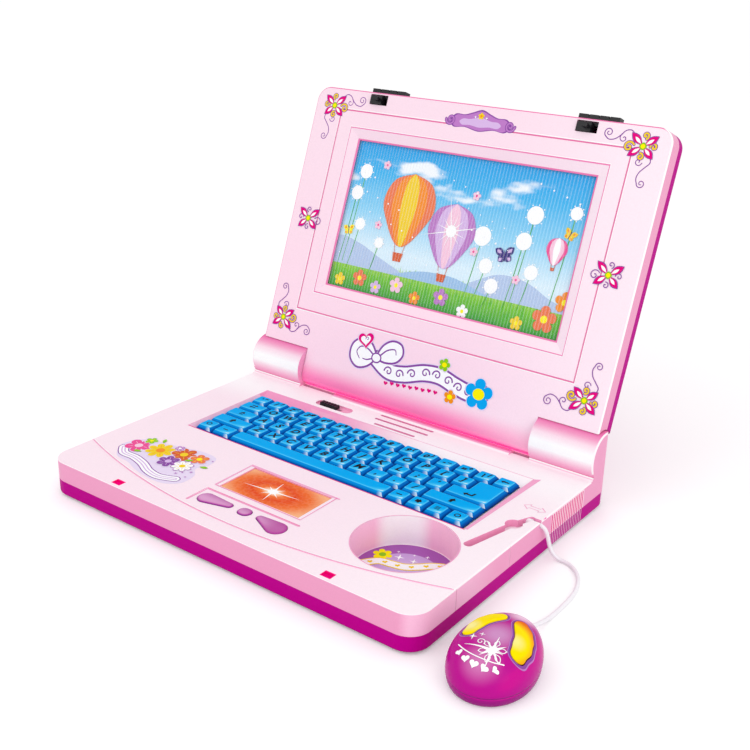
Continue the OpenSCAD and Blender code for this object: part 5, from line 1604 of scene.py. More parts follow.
@dataclass
class Keyboard:
    """Blue keycaps with bevelled sides and black slanted signs, each row and each wide key its own piece.

    Sizes are in millimetres, and heights count from the deck.

    Attributes:
        left: the left end of the keys, from the middle of the deck.
        front: their front, from the deck's front.
        foot: the height of a cap's foot, over which its skirt and its height are counted.
        stem: half the side of its stem.
        lean: how far a sign leans to the right over its height.
        starts: where each row's letters start, in key pitches.
    """

    pitch: float = 15.1
    row_pitch: float = 14.1
    gap: float = 0.8
    left: float = 1.5 - 113.25
    front: float = 97.5
    foot: float = -3.2
    skirt: float = 1.6
    bevel: float = 2.0
    height: float = 4.4
    stem: float = 3.0
    stem_foot: float = -9.3
    lean: float = 0.2
    signs: tuple[str, ...] = ("`1234567890-=\\", "QWERTYUIOP[]", "ASDFGHJKL;'", "ZXCVBNM,./")
    second: str = "~!@#$%^&*()_+|"
    starts: tuple[float, ...] = (0, 1.5, 1.75, 2.25)

    def keys(self) -> dict[str, list[Key]]:
        """Gives the keys of each body.

        Returns:
            The keys by the name of their body.
        """
        found = {}
        for row, (start, signs) in enumerate(zip(self.starts, self.signs)):
            seconds = self.second if row == 0 else [""] * len(signs)
            found[f"keys_row_{row + 1}"] = [
                Key(start + i, 1, row, sign, second) for i, (sign, second) in enumerate(zip(signs, seconds))]
        found["keys_row_5"] = [Key(start, width, 4, mark=mark) for start, width, mark in (
            (0, 1, Mark.RING), (1, 1.15, Mark.BAR), (11.1, 1, Mark.BAR), (12.1, 0.95, Mark.BLOOM),
            (13.05, 0.95, Mark.LIST), (14, 1, Mark.RING))]
        for name, start, width, row, mark in (
            ("backspace", 14, 1, 0, Mark.LEFT), ("tab", 0, 1.5, 1, Mark.BOTH),
            ("caps_lock", 0, 1.75, 2, Mark.CAPITAL), ("enter", 12.75, 2.25, 2, Mark.ENTER),
            ("shift_left", 0, 2.25, 3, Mark.UP), ("shift_right", 12.25, 2.75, 3, Mark.UP),
            ("space_bar", 2.15, 8.95, 4, None),
        ):
            found[f"key_{name}"] = [Key(start, width, row, mark=mark, rows=2 if mark is Mark.ENTER else 1)]
        return found

    def corners(self, key: Key) -> Outline:
        """Gives the corners of a key's cap at its skirt, from the front left one.

        Args:
            key: the key.

        Returns:
            Four corners, or six where the key covers two rows, in deck millimetres.
        """
        g = self.gap / 2
        x0, x1 = self.left + key.start * self.pitch + g, self.left + (key.start + key.width) * self.pitch - g
        y0 = self.front + (4 - key.row) * self.row_pitch + g
        y1 = y0 + self.row_pitch - 2 * g
        if key.rows == 1:
            return [(x0, y0), (x1, y0), (x1, y1), (x0, y1)]
        step = self.left + 13.5 * self.pitch + g
        top = y1 + self.row_pitch
        return [(x0, y0), (x1, y0), (x1, top), (step, top), (step, y1), (x0, y1)]

    @staticmethod
    def ring(corners: Outline, inset: float, radius: float, steps: int = 4) -> Outline:
        """Gives a cap's outline drawn in by an inset, with round corners.

        Args:
            corners: the outline's corners, anticlockwise, each side along an axis.
            inset: how far it is drawn in.
            radius: the radius of its corners.
            steps: the parts of each round corner.

        Returns:
            The outline, with the same number of points for any inset.
        """
        out = []
        for (px, py), (x, y), (nx, ny) in zip(corners[-1:] + corners, corners, corners[1:] + corners[:1]):
            ax, ay = (x > px) - (x < px), (y > py) - (y < py)
            bx, by = (nx > x) - (nx < x), (ny > y) - (ny < y)
            for t in (math.pi / 2 * k / steps for k in range(steps + 1)):
                before, after = (1 - math.sin(t)) * radius, (1 - math.cos(t)) * radius
                out.append((x - (ay + by) * inset - ax * before + bx * after,
                            y + (ax + bx) * inset - ay * before + by * after))
        return out

    def cap(self, key: Key, mesh: CapMesh) -> None:
        """Adds a cap: an upright skirt, a wide bevel, a rolled edge and a top that is dished a little.

        Args:
            key: the key.
            mesh: the mesh that it joins.
        """
        corners = self.corners(key)
        right, front = max(x for x, _ in corners), min(y for _, y in corners)
        skirt, bevel, top = self.skirt, self.bevel, self.height
        # each ring: inset, height over the foot, corner radius, part of the cap above it
        rings = (
            (0.3, 0.0, 0.5, CapPart.SIDE), (0.0, 0.3, 0.6, CapPart.SIDE),
            (0.0, skirt - 0.2, 0.6, CapPart.SIDE), (0.16, skirt + 0.16, 0.6, CapPart.BEVEL),
            (bevel - 0.3, top - 0.42, 0.8, CapPart.EDGE),
            (bevel - 0.05, top - 0.12, 0.9, CapPart.EDGE), (bevel + 0.3, top, 0.9, CapPart.TOP),
            (bevel + 0.9, top - 0.04, 0.9, CapPart.TOP), (bevel + 1.7, top - 0.09, 0.8, CapPart.TOP),
        )
        start, steps = len(mesh.points), 4
        count = len(corners) * (steps + 1)
        for inset, height, radius, _ in rings:
            outline = self.ring(corners, inset, radius, steps)
            mesh.points += [DECK.at(x, y, self.foot + height) for x, y in outline]
            mesh.spots += [((right - x) / 10, (y - front) / 10) for x, y in outline]
        mesh.faces += ring_faces(len(rings), count, start)
        for *_, part in rings[:-1]:
            # the bevel's paler finish, a painted highlight, is only on the cap's first side, along its front; the rest
            # take the painted shade
            mesh.kinds += [CapPart.SIDE if part is CapPart.BEVEL and steps < i < count - 1 else part
                           for i in range(count)]
        last = start + (len(rings) - 1) * count
        mesh.faces += [tuple(range(last, last + count)), tuple(reversed(range(start, start + count)))]
        mesh.kinds += [CapPart.TOP, CapPart.SIDE]

    def stems(self, key: Key, mesh: CapMesh) -> None:
        """Adds the square stems under a cap, which run in the guide plate: one, two or three by its width.

        Args:
            key: the key.
            mesh: the mesh that they join.
        """
        y = self.front + (4.5 - key.row) * self.row_pitch
        for u in (-3.5, 0, 3.5) if key.width > 5 else (-0.5, 0.5) if key.width > 2 else (0,):
            x = self.left + (key.start + key.width / 2 + u) * self.pitch
            start = len(mesh.points)
            mesh.points += [DECK.at(x + a, y + b, z) for z in (self.stem_foot, self.foot + 0.4)
                            for a, b in Draw.frame(self.stem, self.stem)]
            mesh.spots += [(2.0, 2.0)] * 8
            mesh.faces += [*ring_faces(2, 4, start), tuple(range(start + 3, start - 1, -1)),
                           tuple(range(start + 4, start + 8))]
            mesh.kinds += [CapPart.SIDE] * 6

    def mark(self, key: Key, ink: Print) -> None:
        """Prints a wide key's plain sign.

        Args:
            key: the key.
            ink: the print that it joins.
        """
        corners = self.corners(key)
        x = (corners[0][0] + corners[1][0]) / 2
        y = corners[0][1] + self.row_pitch / 2 - 0.4
        if key.mark is Mark.RING:
            ink.line(Draw.oval(x, y, 1.9, 1.7), 0.7, Ink.BLACK, closed=True)
        elif key.mark is Mark.BLOOM:
            ink.fill(Draw.blossom(x, y, 2.3), Ink.BLACK)
        elif key.mark is Mark.BOTH:
            for side in (-1, 1):
                ink.fill(Draw.moved(key.mark.value, x, y + side * 1.4, mx=side), Ink.BLACK)
        else:
            outline, strokes, width = key.mark.value
            if outline:
                ink.fill([(x + a + b * self.lean, y + b) for a, b in outline], Ink.BLACK)
            for left, right, rise in strokes:
                ink.line([(x + left, y + rise), (x + right, y + rise)], width, Ink.BLACK)

    def letters(self, keys: list[Key], body: str) -> None:
        """Prints the letters and figures of one body's keys as thin black shapes.

        Args:
            keys: the body's keys.
            body: its name.
        """
        points: list[Vector] = []
        faces: list[Face] = []
        for key in keys:
            corners = self.corners(key)
            x, y = ((corners[0][i] + corners[2][i]) / 2 for i in (0, 1))
            signs = [(key.sign, x - 0.4, y, 7.6 if key.sign.isalpha() else 6.6)]
            if key.second:
                signs = [(key.sign, x - 1.4, y - 0.8, 6.2), (key.second, x + 2.5, y + 1.9, 4.4)]
            for text, tx, ty, size in signs:
                data = bpy.data.curves.new("sign", "FONT")
                data.body, data.size, data.shear, data.offset = text, size * 1.06, 0.22, 0.28
                data.align_x, data.align_y, data.resolution_u = "CENTER", "CENTER", 3
                word = placed("sign", data)
                mesh = settled(word)
                start = len(points)
                # a sharp letter's thickened corner may not run past the letter
                most = 0.75 * size
                for vertex in mesh.vertices:
                    u, v = (max(-most, min(most, c)) for c in vertex.co[:2])
                    points.append(DECK.at(tx + u, ty + v, self.foot + self.height + 0.02))
                faces += [tuple(start + i for i in p.vertices) for p in mesh.polygons]
                bpy.data.objects.remove(word)
                bpy.data.meshes.remove(mesh)
                bpy.data.curves.remove(data)
        if points:
            piece(f"signs_{body}", points, faces, [0] * len(faces), [Ink.BLACK.made()], body, False)

    def build(self) -> None:
        """Makes all keycaps with their signs."""
        materials = [s.made() for s in (Stuff.KEY_TOP, Stuff.KEY_FRONT, Stuff.KEY_SIDE, Stuff.KEY_EDGE)]
        for body, keys in self.keys().items():
            mesh = CapMesh()
            for key in keys:
                self.cap(key, mesh)
                self.stems(key, mesh)
            caps = piece(f"caps_{body}", mesh.points, mesh.faces, mesh.kinds, materials, body, False)
            layer = caps.data.uv_layers.new(name="cap")
            for loop in caps.data.loops:
                layer.data[loop.index].uv = mesh.spots[loop.vertex_index]
            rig.replaces(caps, body)
            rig.slot(caps, "blue_keys")
            self.letters([key for key in keys if key.sign], body)
            marked = [key for key in keys if key.mark]
            if marked:
                ink = Print(f"marks_{body}", DECK.at, body, lift=self.foot + self.height + 0.02)
                for key in marked:
                    self.mark(key, ink)
                ink.done()
        LOG.info("keyboard of %d bodies", len(self.keys()))


# ---- rounded buttons


def domed(
    name: str, points: Sequence[Vector], rings: int, count: int, stuff: Stuff, body: str
) -> bpy.types.Object:
    """Makes a closed skin of rings of points, with a flat foot and a flat or a pointed top.

    Args:
        name: the piece's name.
        points: the rings from the foot up, and then the top's point where the top isn't flat.
        rings: the number of rings.
        count: the points of each ring.
        stuff: its finish.
        body: its body.

    Returns:
        The new object.
    """
    last = (rings - 1) * count
    top = [tuple(range(last, last + count))]
    if len(points) > rings * count:
        top = [(last + i, last + (i + 1) % count, len(points) - 1) for i in range(count)]
    faces = [*ring_faces(rings, count), *top, tuple(reversed(range(count)))]
    return piece(name, points, faces, [0] * len(faces), [stuff.made()], body)


@dataclass(frozen=True)
class Beads:
    """An outline round a chain of discs, as a button's shape.

    Attributes:
        discs: each disc's middle and radius.
        heart: the point that the outline is drawn round.
        melt: how far the links between the discs melt into each other.
    """

    discs: tuple[Spatial, ...]
    heart: Flat
    melt: float = 2.5

    def distance(self, x: float, y: float) -> float:
        """Measures how far a point is from the outline.

        Args:
            x: the point's first number.
            y: its second number.

        Returns:
            The distance, less than 0 inside.
        """
        best = 1e9
        for a, b in zip(self.discs, self.discs[1:]):
            dx, dy = b[0] - a[0], b[1] - a[1]
            h = math.hypot(dx, dy)
            along = ((x - a[0]) * dx + (y - a[1]) * dy) / h
            across = abs((x - a[0]) * dy - (y - a[1]) * dx) / h
            lean = (a[2] - b[2]) / h
            rise = math.sqrt(1 - lean * lean)
            k = -lean * across + rise * along
            if k < 0:
                d = math.hypot(across, along) - a[2]
            elif k > rise * h:
                d = math.hypot(across, along - h) - b[2]
            else:
                d = rise * across + lean * along - a[2]
            # the links melt into each other, so that the waist stays soft
            near = max(self.melt - abs(best - d), 0.0)
            best = min(best, d) - near * near / (4 * self.melt)
        return best

    def around(self, grow: float, n: int = 120) -> Outline:
        """Gives the outline grown by an amount.

        Args:
            grow: the amount, less than 0 to draw it in.
            n: the number of its points.

        Returns:
            The points, anticlockwise.
        """
        out = []
        for c, s in (Draw.polar(1, a) for a in turns(n)):
            low, high = 0.0, 40.0
            for _ in range(36):
                r = (low + high) / 2
                inside = self.distance(self.heart[0] + r * c, self.heart[1] + r * s) < grow
                low, high = (r, high) if inside else (low, r)
            out.append((self.heart[0] + low * c, self.heart[1] + low * s))
        return out

    def crown(
        self, name: str, place: Placing, rings: Sequence[tuple[float, float]], stuff: Stuff, body: str
    ) -> bpy.types.Object:
        """Makes a crowned button.

        Args:
            name: the piece's name.
            place: turns two numbers and a lift into a point.
            rings: for each ring, how far it is drawn in and its lift.
            stuff: its finish.
            body: its body.

        Returns:
            The new object.
        """
        n = 120
        points = [place(u, v, lift) for inset, lift in rings for u, v in self.around(-inset, n)]
        points.append(place(*self.heart, rings[-1][1]))
        return domed(name, points, len(rings), n, stuff, body)


@dataclass
class DeckButtons:
    """The three purple buttons in front of the light panel.

    Attributes:
        proud: how far a crown stands over the deck, in millimetres.
        rim: the rings of a button's rolled rim, as how far each is drawn in and its lift.
        shapes: each button's outline by its name.
    """

    proud: float = 0.9
    rim: tuple[Flat, ...] = (
        (0.0, -3.4), (0.0, 0.1), (0.06, 0.32), (0.2, 0.5), (0.42, 0.62), (0.8, 0.72), (1.3, 0.8), (1.9, 0.86))
    shapes: dict[str, Beads] = field(default_factory=lambda: {
        "button_left": Beads(((-27.5, 25.2, 5.8), (-10, 27, 2.8)), (-21, 26)),
        "button_centre": Beads(((2.6, 27.2, 4.2), (3.8, 27.2, 4.2)), (3.2, 27.2)),
        "button_right": Beads(((15.6, 27.6, 2.6), (31, 24.6, 6.8)), (26, 25.6)),
    })

    def build(self) -> None:
        """Makes the buttons with rolled rims and crowned tops."""
        for name, beads in self.shapes.items():
            least = min(disc[2] for disc in beads.discs)
            rings = (*self.rim, (least * 0.9, self.proud))
            cap = beads.crown(f"crown_{name}", DECK.at, rings, Stuff.BUTTON, name)
            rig.replaces(cap, name)
            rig.slot(cap, "purple_buttons")
        LOG.info("deck buttons")


# ---- the mouse


@dataclass
class Mouse:
    """The small egg-shaped mouse: a smooth glossy body, two yellow buttons and white stars.

    Sizes are in millimetres, from the middle of its sole. BELLY is the share of the height where it is
    widest, SOLE its width at the floor as a share of that, SQUARE how square its sides are above the belly,
    NARROW how much its nose narrows, and SEAM the height of the seam between its shells.

    Attributes:
        clearance: the gap round a button.
        buttons: each button's outline, by -1 for the left one and 1 for the right one.
        rim: the rings of a button, as how far each is drawn in and its lift.
        star: the middle of the printed starburst.
    """

    WIDTH = 46.5
    LENGTH = 63.0
    HEIGHT = 27.0
    BELLY = 0.33
    SOLE = 0.88
    SQUARE = 0.31
    NARROW = 0.07
    SEAM = 6.5
    clearance: float = 0.3
    buttons: dict[int, Beads] = field(default_factory=lambda: {
        -1: Beads((
            (-4.6, 12.0, 3.3), (-8.2, 8.8, 3.7), (-10.9, 4.4, 3.9), (-12.2, -0.9, 3.8), (-12.7, -7.2, 3.4)),
            (-10.5, 3.6)),
        1: Beads((
            (7.4, 11.4, 3.8), (10.6, 7.8, 4.1), (13.3, 3.3, 4.2), (14.9, -2.0, 4.2), (15.7, -8.4, 3.8)),
            (13.0, 3.0)),
    })
    rim: tuple[Flat, ...] = (
        (0.0, -2.6), (0.0, 0.1), (0.07, 0.34), (0.24, 0.56), (0.5, 0.7), (1.0, 0.77), (1.8, 0.8), (2.8, 0.8))
    star: Flat = (5.0, -15.4)

    @staticmethod
    def at(x: float, y: float, z: float) -> Vector:
        """Gives a point of the mouse, which stands 3 degrees askew, in metres of the row frame."""
        (u, v), = Draw.moved([(x, y)], 188, -95.6, turn=3)
        return Vector((u, v, z)) * MM

    @classmethod
    def share(cls, height: float) -> float:
        """Gives how wide the mouse is.

        Args:
            height: a share of its full height.

        Returns:
            The width there as a share of its full width.
        """
        if height < cls.BELLY:
            return cls.SOLE + (1 - cls.SOLE) * math.sqrt(max(1 - (1 - height / cls.BELLY) ** 2, 0))
        return max(1 - ((height - cls.BELLY) / (1 - cls.BELLY)) ** 2, 0) ** cls.SQUARE

    @classmethod
    def rise(cls, width: float) -> float:
        """Gives the share of the height at which the upper surface has a share of the full width."""
        return cls.BELLY + (1 - cls.BELLY) * math.sqrt(max(1 - width ** (1 / cls.SQUARE), 0))

    @classmethod
    def egg(cls, angle: float, k: float) -> Flat:
        """Gives a point of the outline at an angle, k times the full size."""
        across, along = Draw.polar(k, angle)
        return cls.WIDTH / 2 * across * (1 - cls.NARROW * math.sin(angle)), cls.LENGTH / 2 * along

    @classmethod
    def top(cls, x: float, y: float) -> float:
        """Gives the height of the upper surface over a point.

        Args:
            x: millimetres to the right.
            y: millimetres to the nose.

        Returns:
            The height in millimetres.
        """
        low, high = 0.0, 1.2
        for _ in range(30):
            k = (low + high) / 2
            s = y / (k * cls.LENGTH / 2)
            inside = abs(s) < 1 and k * cls.WIDTH / 2 * math.sqrt(1 - s * s) * (1 - cls.NARROW * s) > abs(x)
            low, high = (low, k) if inside else (k, high)
        return cls.HEIGHT * cls.rise(min(high, 0.999))

    @classmethod
    def on(cls, u: float, v: float, lift: float) -> Vector:
        """Gives a point on the upper surface, lifted along its normal.

        Args:
            u: millimetres to the right.
            v: millimetres to the nose.
            lift: millimetres out of the surface.

        Returns:
            The point in metres of the row frame.
        """
        e = 0.3
        slope_x = (cls.top(u + e, v) - cls.top(u - e, v)) / (2 * e)
        slope_y = (cls.top(u, v + e) - cls.top(u, v - e)) / (2 * e)
        normal = Vector((-slope_x, -slope_y, 1)).normalized()
        return cls.at(u + normal.x * lift, v + normal.y * lift, cls.top(u, v) + normal.z * lift)

    @classmethod
    def laid(cls, outline: Outline, x: float, y: float) -> Outline:
        """Moves a shape to (x, y) and squeezes it towards the middle as much as the slope there stretches it.

        Args:
            outline: the shape, round (0, 0).
            x: millimetres to the right.
            y: millimetres to the nose.

        Returns:
            The moved shape.
        """
        r = math.hypot(x, y)
        cx, cy = x / r, y / r
        fall = cls.top(x - cx / 2, y - cy / 2) - cls.top(x + cx / 2, y + cy / 2)
        less = 1 - 1 / math.hypot(1, fall)
        inward = [less * (a * cx + b * cy) for a, b in outline]
        return [(x + a - k * cx, y + b - k * cy) for (a, b), k in zip(outline, inward)]

    def skin(self, name: str, heights: Sequence[float], pointed: bool) -> bpy.types.Object:
        """Makes a smooth skin through rings of the body.

        Args:
            name: the piece's name.
            heights: each ring's height as a share of the full height, from below.
            pointed: whether it closes in a point at the full height, and not flat.

        Returns:
            The new object.
        """
        sides = 112
        points = [
            self.at(*self.egg(a, self.share(h)), h * self.HEIGHT) for h in heights for a in turns(sides)]
        if pointed:
            points.append(self.at(0, 0, self.HEIGHT))
        return domed(name, points, len(heights), sides, Stuff.MOUSE, "base")

    def cut(self, body: bpy.types.Object) -> None:
        """Cuts the two button openings into the upper shell.

        Args:
            body: the shell.
        """
        n = 96
        for beads in self.buttons.values():
            outline = beads.around(self.clearance, n)
            # from under the shell's surface to well above it
            points = [tuple(self.at(u, v, z)) for z in (13.0, 40.0) for u, v in outline]
            mesh = bpy.data.meshes.new("cutter")
            faces = [tuple(reversed(range(n))), tuple(range(n, 2 * n)), *ring_faces(2, n)]
            mesh.from_pydata(points, [], faces)
            cutter = placed("cutter", mesh)
            modifier = body.modifiers.new("opening", "BOOLEAN")
            modifier.operation, modifier.solver, modifier.object = "DIFFERENCE", "EXACT", cutter
            opened = settled(body)
            body.modifiers.clear()
            body.data = opened
            bpy.data.objects.remove(cutter)

    def build(self) -> None:
        """Makes the shells, the buttons, their rims and the printed stars."""
        seam, gap = self.SEAM / self.HEIGHT, 0.03 / self.HEIGHT
        lower = [0.0, 0.012, 0.035, 0.07, 0.12, 0.17, 0.21, seam - gap]
        # the steep flank goes by angle, and the crown by width
        flank = [self.BELLY + (1 - self.BELLY) * math.sin(math.radians(a)) for a in range(0, 41, 5)]
        widths = (0.82, 0.78, 0.74, 0.7, 0.65, 0.6, 0.55, 0.5, 0.44, 0.38, 0.32, 0.26, 0.2, 0.14, 0.08, 0.04)
        upper = [seam + gap, 0.27, 0.3, *flank, *(self.rise(k) for k in widths)]
        bottom = self.skin("mouse_lower_shell", lower, pointed=False)
        shell = self.skin("mouse_upper_shell", upper, pointed=True)
        self.cut(shell)
        for made, node in ((bottom, "mouse_bottom_shell"), (shell, "mouse_top_shell")):
            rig.replaces(made, node)
            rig.slot(made, "mouse_magenta")
        rims = Print("mouse_button_rims", self.on, "base", lift=0.1)
        for side, beads in self.buttons.items():
            end, stuff = ("right", Stuff.CLICK_RIGHT) if side > 0 else ("left", Stuff.CLICK_LEFT)
            name = f"mouse_button_{end}"
            crown = beads.crown(f"crown_{name}", self.on, self.rim, stuff, name)
            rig.replaces(crown, name)
            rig.slot(crown, "yellow_buttons")
            rims.line(beads.around(0.75), 0.8, Ink.PLUM, 0, closed=True)
            rims.line(beads.around(1.4), 0.4, Ink.ORCHID, 1, closed=True)
        rims.done()
        self.stars()
        LOG.info("mouse")

    def stars(self) -> None:
        """Prints the white starburst, sparks and a garland of hearts on the mouse's back."""
        ink = Print("mouse_stars", self.on, "base", lift=0.1)
        x, y = self.star
        reaches = (
            (8, 5.5), (52, 7.5), (98, 10.5), (142, 7.0), (186, 15.0), (230, 7.0), (276, 10.5), (322, 7.5))
        ink.rays(x, y, reaches, 1.7, thin=0.08, steps=12)
        ink.fill(Draw.star(x, y, 3.4, 0.62, 10), Ink.WHITE, 1, rings=3)
        for turn in range(30, 390, 60):
            ink.line(Draw.petal(x, y, 2.5, 4.6, 2.6, turn), 0.4, Ink.WHITE, 2, closed=True)
        ink.line(Draw.curl(x - 8.0, y + 2.4, 2.4, 0.5, -20, 420), 0.45, Ink.WHITE, 0)
        for sx, sy, r in ((-8.6, -11.0, 2.6), (-5.0, -7.6, 1.8), (-11.4, -7.0, 1.2)):
            ink.fill(Draw.star(sx, sy, r, 0.22, 4, 12), Ink.WHITE)
        # five hearts hang from one thin swag
        for hx, hy, size, turn in (
            (-10.2, -21.6, 4.0, 26), (-5.2, -24.2, 4.5, 12), (0.2, -25.3, 4.9, 0), (5.8, -24.9, 4.5, -14),
            (10.8, -22.6, 4.0, -28),
        ):
            ink.fill(self.laid(Draw.heart(0, 0, size, turn), hx, hy), Ink.WHITE, 2, rings=3)
        swag = [(-13.0, -17.4), (-8.6, -20.0), (-3.4, -21.6), (2.4, -21.9), (8.4, -20.8), (13.2, -18.2)]
        ink.line(Draw.bend(swag), 0.5, Ink.WHITE, 0)
        ink.done()


# ---- printed decoration


@dataclass
class CornerBloom:
    """A magenta flower with gold curls, and in the corners two plum tendrils.

    Its middle is (x, y) on the lid, and mx and my are -1 where it is mirrored.
    """

    x: float
    y: float
    mx: int = 1
    my: int = 1
    tendrils: bool = True

    def put(self, points: Iterable[Flat]) -> Outline:
        """Moves points drawn for the upper left corner to this flower's corner."""
        return Draw.moved(points, self.x, self.y, self.mx, self.my)

    def draw(self, ink: Print) -> None:
        """Draws the flower.

        Args:
            ink: the print that it joins.
        """
        if self.tendrils:
            for path in (
                [(7.6, 7.6), (10.4, 9.4), (14.0, 8.6), (17.2, 5.0), (20.6, 2.4), (24.6, 1.8), (27.6, 3.8)],
                [(-6.6, -6.4), (-7.4, -10.0), (-4.6, -13.4), (-1.6, -17.0), (-0.6, -21.0), (-1.8, -24.2)],
            ):
                ink.line(self.put(Draw.bend(path)), 0.62, Ink.PLUM)
            for curl, width, thin in (
                ((25.4, 6.2, 3.3, 0.7, -48, 470), 0.62, 0.8), ((-4.6, -23.8, 2.9, 0.6, -10, -470), 0.62, 0.8),
                ((14.4, 3.6, 3.0, 0.5, 62, -380), 0.55, 1), ((0.6, -10.2, 2.7, 0.5, 190, 380), 0.55, 1),
            ):
                ink.line(self.put(Draw.curl(*curl)), width, Ink.PLUM, thin=thin)
        for x, y, r, start, sweep in (
            (9.6, -1.4, 3.7, 150, -430), (-0.4, 7.0, 2.3, 250, -380), (-7.4, 0.2, 2.5, 0, 380),
            (0.4, -6.8, 2.3, 80, 380),
        ):
            curl = self.put(Draw.curl(x, y, r, 0.5, start, sweep))
            ink.line(curl, 2.1 if self.tendrils else 0.6, Ink.PLUM)
            if self.tendrils:
                ink.line(curl, 1.15, Ink.GOLD, 2)
        for turn, reach in ((40, 11.0), (142, 10.6), (222, 9.8), (322, 10.4)):
            for start, length, width, tone, layer in (
                (0.6, reach + 1.0, 5.4, Ink.PLUM, 1), (1.0, reach, 4.4, Ink.MAGENTA, 3),
                (2.2, reach * 0.58, 2.0, Ink.WHITE, 4),
            ):
                ink.fill(self.put(Draw.petal(0, 0, start, length, width, turn)), tone, layer)
        ink.fill(self.put(Draw.blossom(0, 0, 2.5, 4, 0, 0.2)), Ink.LIME, 5)
        ink.fill(self.put(Draw.oval(0, 0, 1.5)), Ink.YELLOW, 6)


